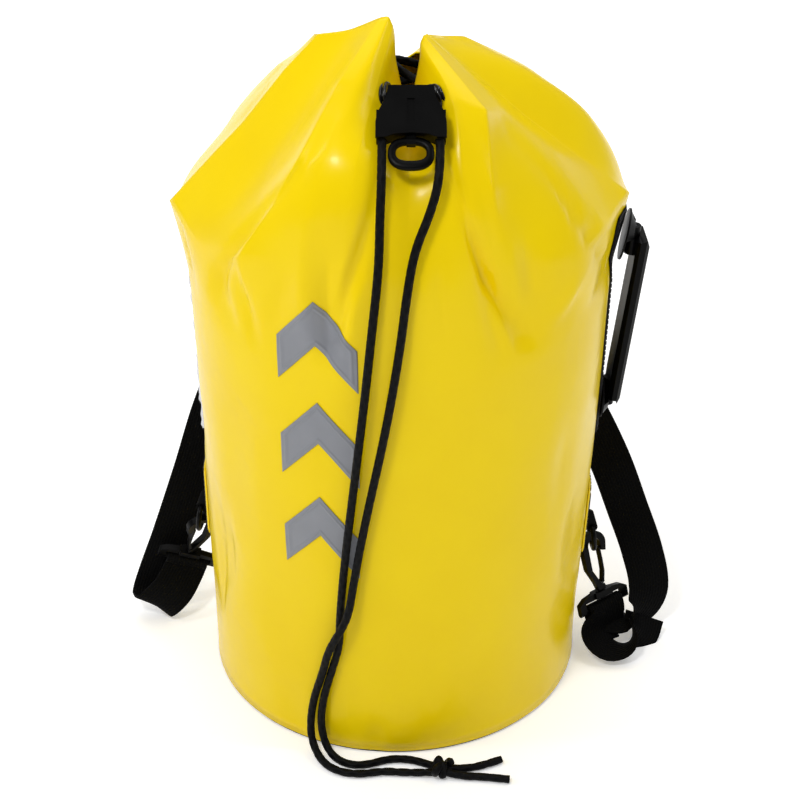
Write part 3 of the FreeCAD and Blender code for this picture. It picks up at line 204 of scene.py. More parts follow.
acetal = moulded("moulded_acetal", "#010101", "#030303", 0.34, 0.5, 0.2, **{"Specular IOR Level": 0.08})
base_coating = moulded("black_coated_base", "#101010", "#1A1A1B", 0.55, 0.9, 0.4, IOR=1.5)
black_tarpaulin = moulded("black_tarpaulin", "#020202", "#050505", 0.38, 1.1, 0.35,
                          **{"Specular IOR Level": 0.1})
lacquered = moulded("lacquered_brass", "#0A0A0B", "#121213", 0.24, 0.8, 0.1, IOR=1.5)
reflective = moulded("reflective_film", "#787A80", "#84868C", 0.5, 0.35, 0.4)
steel = moulded("darkened_steel", "#3A3A3C", "#4A4A4C", 0.35, 0.4, 0.1, Metallic=1.0)
thread = moulded("black_thread", "#1D1D1F", "#2A2A2C", 0.7, 0.3, 0.3)
pale_thread = moulded("pale_thread", "#8A8C92", "#9A9CA2", 0.7, 0.3, 0.3)

# %% [markdown]
# Webbing is woven polypropylene. Its warp yarns stand up as narrow ribs that run its whole length, and
# each rib is broken by the weft every couple of millimetres. Both follow the strap, so the pattern reads
# the piece's own UV map, where u and v are millimetres across and along.

# %% Woven webbing and braided cord
webbing, tree, surface = new_material("woven_webbing", {
    "Roughness": 0.7, "Sheen Weight": 0.01, "Sheen Roughness": 0.4, "Specular IOR Level": 0.06})
along_piece = add(tree, "ShaderNodeUVMap", {"uv_map": "along"}).outputs[0]
split_uv = add(tree, "ShaderNodeSeparateXYZ", Vector=along_piece)
RIB, WEFT = 1.9, 2.6             # mm between warp ribs and between weft picks
lane = maths(tree, "FLOOR", maths(tree, "MULTIPLY", split_uv.outputs["X"], 1 / RIB))
ribs = maths(tree, "COSINE", maths(tree, "MULTIPLY", split_uv.outputs["X"], 2 * math.pi / RIB))
run = maths(tree, "MULTIPLY", split_uv.outputs["Y"], 2 * math.pi / WEFT)
picks = maths(tree, "SINE", add(tree, "ShaderNodeMath", {"operation": "ADD"}, i0=run,
                                i1=maths(tree, "MULTIPLY", lane, math.pi)).outputs[0])
weave = add(tree, "ShaderNodeMath", {"operation": "MULTIPLY_ADD"}, i0=picks, i2=ribs)
weave.inputs[1].default_value = 0.6
height = add(tree, "ShaderNodeMapRange", {"From Min": -1.6, "From Max": 1.6}, Value=weave.outputs[0])
# painted shade: the webbing is darker where the weave is low, between the ribs and under the picks
tree.links.new(mixed(tree, height.outputs["Result"], "#010101", "#090909"), surface.inputs["Base Color"])
bump = add(tree, "ShaderNodeBump", {"Strength": 0.8, "Distance": 0.35 * MM}, Height=height.outputs["Result"])
tree.links.new(bump.outputs["Normal"], surface.inputs["Normal"])

braid, tree, surface = new_material("braided_cord", {
    "Roughness": 0.55, "Sheen Weight": 0.01, "Sheen Roughness": 0.4, "Specular IOR Level": 0.08})
strand = add(tree, "ShaderNodeAttribute", {"attribute_name": "strand"}).outputs["Fac"]
# painted shade: the cord is darker in the gaps between strands and lighter where a strand is on top
tree.links.new(mixed(tree, strand, "#020202", "#0E0E0F"), surface.inputs["Base Color"])

# %% [markdown]
# The back pad is pale grey air mesh over foam. The knit is a field of small cells 2 mm across, and the
# cloth catches light at grazing angles, which is what sheen is for.

# %% Air mesh
air_mesh, tree, surface = new_material("air_mesh", {
    "Roughness": 0.85, "Sheen Weight": 0.35, "Sheen Roughness": 0.5, "Specular IOR Level": 0.25})
place = add(tree, "ShaderNodeUVMap", {"uv_map": "along"}).outputs[0]
cells = add(tree, "ShaderNodeTexVoronoi", {"Scale": 1 / 2.2, "Randomness": 0.15}, Vector=place)
# painted shade: the knit is darker in the pit at each cell's centre and paler on the raised yarns round it
tree.links.new(mixed(tree, cells.outputs["Distance"], "#C6C8CE", "#E6E7EC"), surface.inputs["Base Color"])
bump = add(tree, "ShaderNodeBump", {"Strength": 0.3, "Distance": 0.4 * MM}, Height=cells.outputs["Distance"])
tree.links.new(bump.outputs["Normal"], surface.inputs["Normal"])

# %% [markdown]
# The neck is gathered into folds. Each fold is one line of a table: its angle on the round body, then
# where its ridge or valley lies at the shoulder, half way up, at the eyelets and at the rim, and how
# keen its crease is. The table is the pattern; cubic curves between its points give the cloth.

# %% Fold table
BASE_RADIUS, SHOULDER_RADIUS, BODY_HEIGHT = 119.5, 127.5, 280.0
HEM, LEAN, WALL = 2.0, 3.0, 1.0
FOLDS = [
    (0, (1, -120, 346), (3, -97, 384), (5, -48, 392), (6, -30, 402), 0.3),
    (10, (20, -119, 346), (20, -100, 388), (19.3, -61, 418), (12, -33, 430), 0.3),
    (18, (35, -117, 342), (32, -102, 387), (27, -69, 422), (13, -28, 438), 0.3),
    (27, (50, -112, 338), (48, -101, 381), (46, -77, 417), (15, -25, 441), 0.9),
    (49, (95, -86, 331), (82, -60, 376), (60, -44, 403), (17, -21, 440), 0.0),
    (90, (141, 0, 329), (106, -8, 359), (74, -12, 386), (19, -16, 438), 1.0),
    (107, (140, 36, 320), (120, 28, 366), (84, 16, 399), (27, 2, 430), 0.0),
    (128, (108, 80, 316), (104, 58, 360), (80, 34, 398), (42, 18, 423), 0.6),
    (149, (64, 106, 312), (58, 82, 355), (44, 50, 388), (28, 30, 410), 0.2),
    (165, (32, 122, 320), (28, 100, 364), (20, 72, 396), (14, 43, 404), 0.6),
    (180, (0, 117, 312), (0, 90, 352), (0, 52, 382), (2, 36, 400), 0.2),
    (195, (-32, 122, 320), (-30, 98, 365), (-24, 70, 398), (-16, 48, 416), 0.6),
    (211, (-62, 106, 312), (-54, 78, 355), (-44, 44, 390), (-30, 28, 408), 0.2),
    (232, (-102, 82, 318), (-92, 60, 366), (-68, 34, 402), (-44, 18, 424), 0.6),
    (252, (-128, 42, 316), (-98, 28, 366), (-68, 16, 404), (-46, 8, 430), 0.0),
    (270, (-135, 0, 331), (-90, 0, 379), (-64, 0, 412), (-44, -2, 434), 1.0),
    (292, (-112, -54, 322), (-76, -42, 372), (-46, -30, 412), (-26, -16, 442), 0.0),
    (314, (-93, -88, 336), (-57, -92, 397), (-33, -65, 431), (-9, -33, 455), 0.9),
    (330, (-60, -109, 343), (-44, -100, 397), (-22, -69, 428), (-5, -36, 456), 0.0),
    (343, (-34, -117, 345), (-27, -105, 395), (-14, -66, 425), (-3, -37, 452), 0.3),
    (352, (-16, -119, 346), (-12, -103, 390), (-7.6, -60, 419), (-1, -35, 430), 0.3),
]
BODY_BANDS = 5
# columns crowd towards the folds, so the creases stay crisp
COLUMN_STOPS = (0.0, 0.05, 0.14, 0.25, 0.37, 0.5, 0.63, 0.75, 0.86, 0.95)
BODY_STEPS, NECK_STEPS = 8, 16


def body_radius(z):
    return BASE_RADIUS + (SHOULDER_RADIUS - BASE_RADIUS) * z / BODY_HEIGHT


def body_lean(z):
    return LEAN * min(max((z - 0.15 * BODY_HEIGHT) / (0.55 * BODY_HEIGHT), 0.0), 1.0)


def beside_bag(angle, gap, z):
    turn, reach = math.radians(angle), body_radius(z) + gap
    return np.array([body_lean(z) + reach * math.sin(turn), -reach * math.cos(turn), z])


def cubic(a, b, slope_a, slope_b, span, t):
    return (a * (2 * t ** 3 - 3 * t ** 2 + 1) + slope_a * span * (t ** 3 - 2 * t ** 2 + t)
            + b * (-2 * t ** 3 + 3 * t ** 2) + slope_b * span * (t ** 3 - t ** 2))


def length(v):
    return np.linalg.norm(v, axis=-1, keepdims=True)


# %% [markdown]
# The cage is refined twice: up the bag, where the body stays straight and the neck curves in, and then
# round it, where a keen fold keeps a straight run on either side so that the cloth breaks at the crease.

# %% Refine the cage
levels = [np.array([beside_bag(f[0], 0.0, HEM + (BODY_HEIGHT - HEM) * ring / BODY_BANDS) for f in FOLDS])
          for ring in range(BODY_BANDS + 1)]
levels += [np.array([f[level] for f in FOLDS], float) for level in range(1, 5)]
gaps = [length(b - a) for a, b in zip(levels, levels[1:])]
slopes = [(b - a) / d for a, b, d in zip(levels, levels[1:], gaps)]
up_rows, sharpness = [], []
keen = np.array([f[5] for f in FOLDS])
stiff = np.clip((keen[:, None] - 0.3) / 0.5, 0.0, 1.0)
for i in range(len(levels) - 1):
    in_body = i < BODY_BANDS
    steps = BODY_STEPS if in_body else NECK_STEPS
    slope_a = slope_b = slopes[i]
    if not in_body:
        slope_a = (slopes[i - 1] * gaps[i] + slopes[i] * gaps[i - 1]) / (gaps[i] + gaps[i - 1])
        if i + 1 < len(slopes):
            slope_b = (slopes[i] * gaps[i + 1] + slopes[i + 1] * gaps[i]) / (gaps[i + 1] + gaps[i])
        # a keen fold runs straight from point to point, which is what makes its corners pointed
        slope_a = slope_a * (1 - stiff) + slopes[i] * stiff
        slope_b = slope_b * (1 - stiff) + slopes[i] * stiff
    for s in range(steps):
        up_rows.append(cubic(levels[i], levels[i + 1], slope_a, slope_b, gaps[i], s / steps))
        sharpness.append(keen * (0.0 if in_body else min(1.0, (s + (i - BODY_BANDS) * steps) / 4)))
up_rows.append(levels[-1])
sharpness.append(keen)


def refine_round(row, sharp):
    before, after = np.roll(row, 1, axis=0), np.roll(row, -1, axis=0)
    gap_in, gap_out = length(row - before), length(after - row)
    bend = ((row - before) * (gap_out / gap_in) + (after - row) * (gap_in / gap_out)) / (gap_in + gap_out)
    along = (after - row) / gap_out
    keen_here, keen_next = sharp[:, None], np.roll(sharp, -1)[:, None]
    start = bend * (1 - keen_here) + along * keen_here
    end = np.roll(bend, -1, axis=0) * (1 - keen_next) + along * keen_next
    stops = [cubic(row, after, start, end, gap_out, t) for t in COLUMN_STOPS]
    return np.stack(stops, axis=1).reshape(-1, 3)


SKIN = np.array([refine_round(row, sharp) for row, sharp in zip(up_rows, sharpness)])
turns = [f[0] for f in FOLDS] + [360]
ANGLES = np.array([a + (b - a) * t for a, b in zip(turns, turns[1:]) for t in COLUMN_STOPS])
print("skin grid:", SKIN.shape[:2], "points")

# %% [markdown]
# A filled bag is never a true cylinder. Shallow dents, a welded hem band that stands a little proud, and
# slack ripples in the neck are pushed in along the surface's own normals. Nothing is pushed in where a
# fitting is welded on, so each patch still lies on sound cloth.

# %% Dents, hem and slack


def grid_normals(grid, wraps):
    if wraps:
        side = np.roll(grid, -1, axis=1) - np.roll(grid, 1, axis=1)
    else:
        side = np.gradient(grid, axis=1)
    normals = np.cross(side, np.gradient(grid, axis=0))
    return normals / length(normals)


MM_PER_DEGREE = math.radians(1) * 125.0


SLACK_DEPTH = 2.6                # mm, at most, that slack cloth falls in
HEM_PROUD, HEM_BAND = 0.45, 9.0  # mm that the welded hem stands out, and how high it reaches
CREASE_DEPTH, CREASE_WIDTH = 1.7, 0.75       # one scale for all creases
NECK_FROM, NECK_TO = 283, 420    # mm: only the gathered neck is creased


def bell(x, middle, half):
    x = abs(x - middle) / half
    return (1 - x * x) ** 2 if x < 1 else 0.0


def turned(angle, middle):
    return (angle - middle + 180) % 360 - 180


DENTS = [  # angle, half width in degrees, height, half height in mm, depth
    (62, 9, 120, 80, 2.2), (50, 7, 185, 60, 1.4), (-68, 8, 110, 60, 1.8), (-55, 10, 185, 70, 1.2),
    (-9, 5, 14, 16, 2.2), (-14, 4, 30, 26, 1.0), (30, 16, 235, 60, 1.0), (-30, 12, 262, 34, 1.0),
    (57, 3.0, 128, 60, 2.4), (66, 2.6, 92, 44, 2.4), (-62, 3.0, 122, 40, 2.2), (-70, 2.4, 84, 34, 1.8),
    (-36, 7, 24, 26, 1.6), (140, 14, 60, 40, 1.6), (222, 14, 50, 36, 1.4), (118, 8, 230, 60, 1.8),
    (20, 10, 60, 60, 0.8),
]
FITTINGS = [  # angle, half width in degrees, low and high in mm of cloth that stays true
    (90, 12, 150, 330), (91.4, 16, 70, 145), (260.2, 16, 80, 155), (180, 40, 270, 320)]


CREASES = [  # from and to as angle and height, half width in mm, depth; a negative depth is a raised ridge
    ((338, 288), (339, 345), 6, 2.4), ((333, 300), (331, 372), 7, -1.6), ((344, 296), (346, 360), 7, -1.2),
    ((316, 286), (312, 322), 6, 2.2), ((306, 290), (300, 318), 8, 1.6), ((322, 292), (327, 330), 7, 1.2),
    ((33, 286), (38, 352), 8, 2.2), ((24, 286), (22, 330), 7, 1.4), ((40, 292), (52, 320), 9, -1.4),
    ((70, 292), (80, 316), 7, 1.6), ((283, 296), (276, 318), 7, 1.8), ((8, 300), (9, 350), 7, 0.8),
    ((120, 288), (122, 330), 8, 1.8), ((138, 286), (142, 320), 7, 1.2), ((172, 322), (173, 370), 6, 1.4),
    ((31, 292), (12, 402), 6, 4.6), ((36, 300), (24, 400), 6, -2.4), ((340, 296), (353, 398), 6, 3.0),
    ((300, 300), (318, 396), 7, 3.0), ((70, 300), (40, 398), 7, 3.0), ((188, 320), (187, 366), 6, 1.2),
    ((222, 290), (225, 336), 8, 1.8), ((240, 292), (238, 322), 7, 1.4),
]


def creases(angle, z):
    """Narrow folds that run up into the gathers, each fading out at both ends."""
    depth = 0.0
    for (a1, z1), (a2, z2), half, deep in CREASES:
        share = min(1.0, max(0.0, (z - z1) / (z2 - z1)))
        middle = a1 + (a2 - a1) * share
        gap = math.hypot(turned(angle, middle) * MM_PER_DEGREE, min(0.0, z - z1) + max(0.0, z - z2))
        fade = math.sin(math.pi * (0.15 + 0.7 * share))
        depth += CREASE_DEPTH * deep * math.exp(-(gap / (CREASE_WIDTH * half)) ** 2) * fade
    return depth


def dent(angle, z):
    depth = sum(d * bell(turned(angle, a), 0, half) * bell(z, mid, tall) for a, half, mid, tall, d in DENTS)
    slack = max(0.0, noise.noise(Vector((math.sin(math.radians(angle)) * 2.4,
                                         math.cos(math.radians(angle)) * 2.4, z / 75))))
    depth += SLACK_DEPTH * slack * min(1.0, z / 60)
    for middle, half, low, high in FITTINGS:
        beside = max(abs(turned(angle, middle)) - half, low - z, z - high, 0.0)
        depth *= min(1.0, beside / 12)
    if NECK_FROM < z < NECK_TO:
        depth += creases(angle, z)
    if z > 330:
        depth *= max(0.35, 1 - (z - 330) / 60)
    return -depth + HEM_PROUD * min(1.0, max(0.0, (HEM_BAND - z) / 0.8))


SMOOTH_NORMALS = grid_normals(SKIN, True)
PUSH = np.array([[dent(angle, place[2]) for angle, place in zip(ANGLES, row)] for row in SKIN])
SKIN = SKIN + SMOOTH_NORMALS * PUSH[..., None]
NORMALS = grid_normals(SKIN, True)


def skin_at(angle, z, lift=0.0):
    """A place on the finished skin and the way it faces."""
    angle %= 360
    left = int(np.searchsorted(ANGLES, angle, side="right")) - 1
    right = (left + 1) % len(ANGLES)
    share = (angle - ANGLES[left]) / ((ANGLES[right] or 360) - ANGLES[left])
    columns = [grid[:, left] * (1 - share) + grid[:, right] * share for grid in (SKIN, NORMALS)]
    heights = columns[0][:, 2]
    low = int(np.argmax(heights[1:] >= z)) if heights.max() > z else len(heights) - 2
    rise = (z - heights[low]) / (heights[low + 1] - heights[low])
    place, out = (c[low] * (1 - rise) + c[low + 1] * rise for c in columns)
    out = out / np.linalg.norm(out)
    return place + out * lift, out


# %% [markdown]
# The skin becomes a shell: an outer and an inner wall joined at the hem and at the rim. The eyelet holes
# are cut with a boolean, because a hole in cloth that is only painted on would show the cord passing
# through solid material.

# %% Bag skin with its eyelet holes


def shell(name, outer, inner, material, wraps, uvs=None):
    rows, count = outer.shape[:2]
    points = np.concatenate([outer.reshape(-1, 3), inner.reshape(-1, 3)])
    base, faces = rows * count, []
    last = count if wraps else count - 1
    for i in range(rows - 1):
        for j in range(last):
            a, b = i * count + j, i * count + (j + 1) % count
            faces.append((a, b, b + count, a + count))
            faces.append((base + b, base + a, base + a + count, base + b + count))
    top = (rows - 1) * count
    for j in range(last):
        a, b = j, (j + 1) % count
        faces.append((b, a, base + a, base + b))
        faces.append((top + a, top + b, base + top + b, base + top + a))
    if not wraps:
        for i in range(rows - 1):
            a, b = i * count, (i + 1) * count
            faces.append((a, b, base + b, base + a))
            a, b = a + count - 1, b + count - 1
            faces.append((b, a, base + a, base + b))
    if uvs is not None:
        uvs = [tuple(uv) for uv in uvs.reshape(-1, 2)] * 2
    return mesh_piece(name, points, faces, material, uvs)


EYELETS = [((-7.6, -60, 419), (0.93, -0.30, 0.20)), ((19.3, -61, 418), (-0.86, -0.47, -0.10)),
           ((62, 42, 393), (0.45, 0.86, 0.25)), ((32.5, 60.5, 392), (0.60, 0.78, 0.15)),
           ((-34, 57, 394), (-0.62, 0.76, 0.15)), ((-56, 39.5, 396), (-0.42, 0.87, 0.25))]


def eyelet_matrix(centre, facing):
    out = Vector(facing).normalized()
    across = Vector((0, 0, 1)).cross(out).normalized()
    turn = Matrix((across, out.cross(across), out)).transposed().to_4x4()
    return Matrix.Translation(Vector(centre)) @ turn


def revolved(profile, frame, around=40):
    points, faces = [], []
    for k in range(around):
        turn = 2 * math.pi * k / around
        points += [frame @ Vector((r * math.cos(turn), r * math.sin(turn), z)) for r, z in profile]
    n = len(profile)
    for k in range(around):
        following = (k + 1) % around
        for i in range(n):
            a, b = k * n + i, k * n + (i + 1) % n
            faces.append((a, following * n + i, following * n + (i + 1) % n, b))
    return points, faces


bag = shell("bag_skin", SKIN, SKIN - NORMALS * WALL, tarpaulin, True)
HOLE_RADIUS = 5.6
for centre, facing in EYELETS:
    points, faces = [], []
    frame_here = eyelet_matrix(centre, facing)
    for z in (-8, 8):
        points += [frame_here @ Vector((HOLE_RADIUS * math.cos(math.radians(15 * k)),
                                        HOLE_RADIUS * math.sin(math.radians(15 * k)), z)) for k in range(24)]
    faces = [tuple(reversed(range(24))), tuple(range(24, 48))]
    faces += [(k, (k + 1) % 24, 24 + (k + 1) % 24, 24 + k) for k in range(24)]
    cutter = mesh_piece("cutter", points, faces, tarpaulin)
    cut = bag.modifiers.new("hole", "BOOLEAN")
    cut.operation, cut.object, cut.solver = "DIFFERENCE", cutter, "EXACT"
    apply_modifiers(bag)
    bpy.data.objects.remove(cutter)
bag.data.polygons.foreach_set("use_smooth", [True] * len(bag.data.polygons))
belongs(bag, "bag", "tarpaulin", "bag_body")
print("bag skin:", len(bag.data.polygons), "faces")

# %% [markdown]
# Each eyelet is a turned brass ring with a domed flange in front and a flat washer behind, lacquered
# black. A closed profile spun round the eyelet's own axis gives both at once.

# %% Eyelets
EYELET_PROFILE = [(4.2, 1.7), (4.7, 2.15), (5.6, 2.35), (7.2, 2.2), (8.2, 1.6), (8.5, 0.9), (5.35, 0.8),
                  (5.35, -0.8), (8.0, -0.8), (8.0, -1.7), (5.0, -1.9), (4.3, -1.7)]
points, faces = [], []
for centre, facing in EYELETS:
    ring_points, ring_faces = revolved(EYELET_PROFILE, eyelet_matrix(centre, facing))
    faces += [tuple(len(points) + v for v in face) for face in ring_faces]
    points += ring_points
belongs(mesh_piece("eyelet_rings", points, faces, lacquered), "bag", "eyelet", "eyelets", "eyelet_washers")

# %% [markdown]
# Anything welded to the skin is a thin sheet that follows it. One function lays a sheet on the skin
# between two angles and two heights, with its thickness given by a profile of its own.

# %% Sheets laid on the skin
def laid(name, angles, heights, lift, thickness, material):
    """heights(angle, v) gives the height; thickness(u, v) is in mm; u and v run from 0 to 1."""
    over, under, uvs = [], [], []
    for v in np.linspace(0, 1, heights[0]):
        line_over, line_under, line_uv = [], [], []
        for angle in angles:
            u = (angle - angles[0]) / (angles[-1] - angles[0])
            z = heights[1](angle, v)
            place, out = skin_at(angle, z, lift)
            line_under.append(place)
            line_over.append(place + out * thickness(u, v))
            line_uv.append((angle * MM_PER_DEGREE, z))
        over.append(line_over)
        under.append(line_under)
        uvs.append(line_uv)
    return shell(name, np.array(over), np.array(under), material, False, np.array(uvs))


def patch_edge(width, height, thick, edge=1.2):
    """A welded patch is pressed thin along its edges."""
    def thickness(u, v):
        inside = min(u * width, (1 - u) * width, v * height, (1 - v) * height)
        return thick * (0.45 + 0.55 * min(1.0, inside / edge))
    return thickness


def rectangle(name, middle, half, low, high, thick, material, rows):
    angles = np.linspace(middle - half, middle + half, max(10, int(half * 2)))
    edge = [angles[0] + 0.4, angles[0] + 0.8, angles[-1] - 0.8, angles[-1] - 0.4]
    angles = np.array(sorted(list(angles) + edge))
    profile = patch_edge((angles[-1] - angles[0]) * MM_PER_DEGREE, high - low, thick)
    return laid(name, angles, (rows, lambda angle, v: low + (high - low) * v), 0.3, profile, material)


handle_strip = rectangle("handle_strip", 90, 6.74, 168, 320, 1.35, black_tarpaulin, 60)
belongs(handle_strip, "bag", "patch", "handle_patch")
anchor_patch = rectangle("strap_anchor_patch", 180, 34, 286, 308, 1.35, black_tarpaulin, 12)
belongs(anchor_patch, "bag", "patch", "strap_anchor")
for side, angle, z in (("right", 91.4, 89.0), ("left", 260.2, 101.0)):
    half = math.degrees(25.0 / body_radius(z))
    piece = rectangle("ring_patch_piece_" + side, angle, half, z - 8, z + 42, 1.35, tarpaulin, 24)
    belongs(piece, "bag", "tarpaulin", "ring_patch_" + side)

# %% [markdown]
# The three chevrons are grey reflective film. A welding tool has pressed a border round each, so a ridge
# runs along every edge with a shallow groove inside it.

# %% Chevrons
CHEVRON_ANGLE, CHEVRON_DROP, CHEVRON_BAND, CHEVRON_HALF = 335.2, 27.0, 27.5, 25.0
BORDER = 3.4
half_turn = math.degrees(CHEVRON_HALF / SHOULDER_RADIUS)
fan = np.concatenate([np.linspace(-1, -0.84, 7), np.linspace(-0.8, 0.8, 33), np.linspace(0.84, 1, 7)])


def chevron_relief(u, v):
    side = min(u, 1 - u) * 2 * CHEVRON_HALF
    inside = min(side, v * CHEVRON_BAND, (1 - v) * CHEVRON_BAND)
    ridge = bell(inside, BORDER, 1.1) * 0.6
    return 0.35 + 0.2 * min(1.0, inside / 0.6) + ridge


for number, tip in (("upper", 322.0), ("middle", 257.0), ("lower", 192.0)):
    def arm(angle, v, tip=tip):
        return tip - CHEVRON_BAND * (1 - v) - CHEVRON_DROP * abs(angle - CHEVRON_ANGLE) / half_turn
    piece = laid("chevron_" + number + "_film", CHEVRON_ANGLE + fan * half_turn, (36, arm), 0.25,
                 chevron_relief, reflective)
    belongs(piece, "bag", "reflective", "chevron_" + number)

# %% [markdown]
# The back pad is foam under air mesh, quilted into three long channels by two seams, and pinched along its
# bound edge. The foam crowns between the seams and the cloth over it is slack, so it wrinkles sideways.

# %% Back pad
PAD_MIDDLE, PAD_HALF, PAD_LOW, PAD_HIGH, PAD_THICK = 183.0, 64.0, 62.0, 268.0, 8.0
PAD_WING, PAD_WING_LOW = 9.5, 150.0
pad_width, pad_height = (2 * PAD_HALF + PAD_WING) * MM_PER_DEGREE, PAD_HIGH - PAD_LOW


def pad_crown(u, v):
    x, y = u * pad_width, v * pad_height
    inside = min(x, pad_width - x, y, pad_height - y)
    rounded_over = 5 if u > 0.9 else 14
    crown = math.sqrt(max(0.0, 1 - (1 - min(1.0, inside / rounded_over)) ** 2))
    seams = 1.0
    for seam in (1 / 3, 2 / 3):
        gap = abs(x - seam * pad_width)
        seams *= 1 - 0.62 * math.exp(-(gap / 5.0) ** 2)
    seams *= 1 - 0.5 * math.exp(-((y - 0.5 * pad_height) / 4.5) ** 2)
    wrinkle = (1.5 * noise.noise(Vector((x / 34, y / 10, 3.1)))
               + 0.5 * noise.noise(Vector((x / 9, y / 16, 7.7))))
    return 1.6 + (PAD_THICK - 1.6) * crown * seams + wrinkle * crown


def pad_height_at(angle, v):
    """The wing at the upper left starts higher than the rest of the pad."""
    wing = min(1.0, max(0.0, (angle - PAD_MIDDLE - PAD_HALF) / 1.5))
    low = PAD_LOW + (PAD_WING_LOW - PAD_LOW) * wing
    return low + (PAD_HIGH - low) * v


back_pad = laid("back_pad_cover", np.linspace(PAD_MIDDLE - PAD_HALF, PAD_MIDDLE + PAD_HALF + PAD_WING, 170),
                (110, pad_height_at), 0.3, pad_crown, air_mesh)
belongs(back_pad, "bag", "pad", "back_pad")

# %% [markdown]
# A strap is flat webbing that follows a path of places, each with the direction of its width. The path is
# rounded with a Catmull-Rom curve, and the cross-section has the thick rolled selvedge of real webbing.

# %% Straps
WEB_SECTION = ([(-14.0, 0.0), (-13.7, 0.6), (-13.0, 0.85)]
               + [(x, 0.8) for x in np.linspace(-12, 12, 13)] + [(13.0, 0.85), (13.7, 0.6), (14.0, 0.0)]
               + [(13.7, -0.6), (13.0, -0.85)] + [(x, -0.8) for x in np.linspace(12, -12, 13)]
               + [(-13.0, -0.85), (-13.7, -0.6)])


def catmull(values, steps):
    values = [2 * values[0] - values[1]] + list(values) + [2 * values[-1] - values[-2]]
    result = []
    for a, b, c, d in zip(values, values[1:], values[2:], values[3:]):
        span = np.linalg.norm(c - b) or 1.0
        slope_b = (c - a) / max(np.linalg.norm(b - a) + span, 1e-6)
        slope_c = (d - b) / max(np.linalg.norm(d - c) + span, 1e-6)
        result += [cubic(b, c, slope_b, slope_c, span, s / steps) for s in range(steps)]
    return result + [values[-2]]


def ribbon(name, stations, material, section=WEB_SECTION, steps=7):
    centres = catmull([np.array(c, float) for c, _ in stations], steps)
    widths = []
    for (_, a), (_, b) in zip(stations, stations[1:]):
        a, b = (np.array(w, float) / np.linalg.norm(w) for w in (a, b))
        widths += [a + (b - a) * s / steps for s in range(steps)]
    widths.append(np.array(stations[-1][1], float))
    points, uvs, run = [], [], 0.0
    for i, centre in enumerate(centres):
        behind, ahead = centres[max(i - 1, 0)], centres[min(i + 1, len(centres) - 1)]
        along = (ahead - behind) / np.linalg.norm(ahead - behind)
        across = widths[i] - along * widths[i].dot(along)
        across /= np.linalg.norm(across)
        out = np.cross(across, along)
        run += np.linalg.norm(centre - behind)
        for x, y in section:
            points.append(centre + across * x + out * y)
            uvs.append((x, run))
    n = len(section)
    faces = [(i * n + j, i * n + (j + 1) % n, (i + 1) * n + (j + 1) % n, (i + 1) * n + j)
             for i in range(len(centres) - 1) for j in range(n)]
    faces += [tuple(reversed(range(n))), tuple(range((len(centres) - 1) * n, len(centres) * n))]
    print(name, "is", round(run), "mm long")
    return mesh_piece(name, points, faces, material, uvs)


joints = {joint["name"]: joint for joint in frame["joints"]}
BAR_ALONG = {"right": (0.78, 0.55, 0.13), "left": (0.959, 0.0, -0.284)}
WRAP = 3.4                       # from the middle of the bar to the middle of the webbing round it


def strap_stations(side):
    pivot = joints["hook_swivel_" + side]
    bar, up = np.array(pivot["pos_m"]) / MM, np.array(pivot["axis"])
    along = np.array(BAR_ALONG[side])
    along = along - up * along.dot(up)
    along /= np.linalg.norm(along)
    front = np.cross(along, up)
    wrap = [(bar - front * WRAP - up * 7, along), (bar - front * WRAP, along)]
    for turn in (45, 90, 135):
        swing = math.radians(turn)
        wrap.append((bar - front * WRAP * math.cos(swing) + up * WRAP * math.sin(swing), along))
    wrap += [(bar + front * WRAP, along), (bar + front * WRAP - up * 6, along)]
    if side == "right":
        anchor, sense = (161.0, 160.4), -1
        down = [((159.4, 11.8, 273), (1, -0.33, 0.05)), ((155.9, 16.8, 248), (1, -0.28, 0.1)),
                ((148.0, 20.0, 212), (1, -0.28, 0.1)), ((132.9, 20.0, 172), (1, -0.1, 0.3)),
                ((118.3, 22.0, 140), (1, -0.1, 0.3)), ((106.2, 27.9, 112.6), (1, 0, 0.3)),
                ((100.8, 39.0, 79.6), (1, 0, 0.1)), ((95.4, 47.5, 54), (1, 0, 0.1)),
                ((91.3, 51.6, 32), (1, 0.1, -0.1)), ((88.6, 45.0, 18), (0.9, 0.5, -0.2)),
                ((87.4, 34.2, 15), (0.8, 0.6, 0.0))]
        after = [((82.0, 18.0, 13.5), (0.8, 0.6, 0.1)), ((78.6, 23.0, 8.5), (0.75, 0.65, -0.1)),
                 ((80.3, 34.6, 6.4), (0.65, 0.75, -0.15)), ((84.6, 46.0, 8.6), (0.85, 0.5, -0.2)),
                 ((88.0, 49.0, 15), (0.95, 0.25, -0.1))]
    else:
        anchor, sense = (199.0, 199.6), 1
        down = [((200.6, 11.8, 273), (1, 0.33, -0.05)), ((204.1, 16.8, 248), (1, 0.28, -0.1)),
                ((212.0, 20.0, 212), (1, 0.28, -0.1)), ((225.5, 20.0, 175), (1, 0.2, -0.4)),
                ((237.3, 20.5, 140), (1, 0.1, -0.5)), ((247.0, 24.0, 102), (1, 0, -0.5)),
                ((252.0, 37.3, 55), (1, 0, -0.45)), ((254.5, 47.9, 24), (1, -0.1, -0.4)),
                ((256.5, 51.0, 11.5), (0.84, -0.19, -0.4))]
        after = [((259.6, 33.4, 24), (0.87, -0.12, -0.4)), ((260.4, 45.5, 12.5), (0.84, -0.19, -0.4))]
    sewn = [(skin_at(angle, z, 3.85)[0], (1, sense * 0.35, 0)) for angle, z in zip(anchor, (303, 288))]
    down = [(beside_bag(*spot), across) for spot, across in down]
    after = [(beside_bag(*spot), across) for spot, across in after]
    if side == "left":
        return sewn + down + after[::-1] + wrap[::-1]
    return sewn + down + wrap + after


for side in ("right", "left"):
    strap = ribbon("strap_webbing_" + side, strap_stations(side), webbing)
    belongs(strap, "bag", "webbing", "strap_" + side)
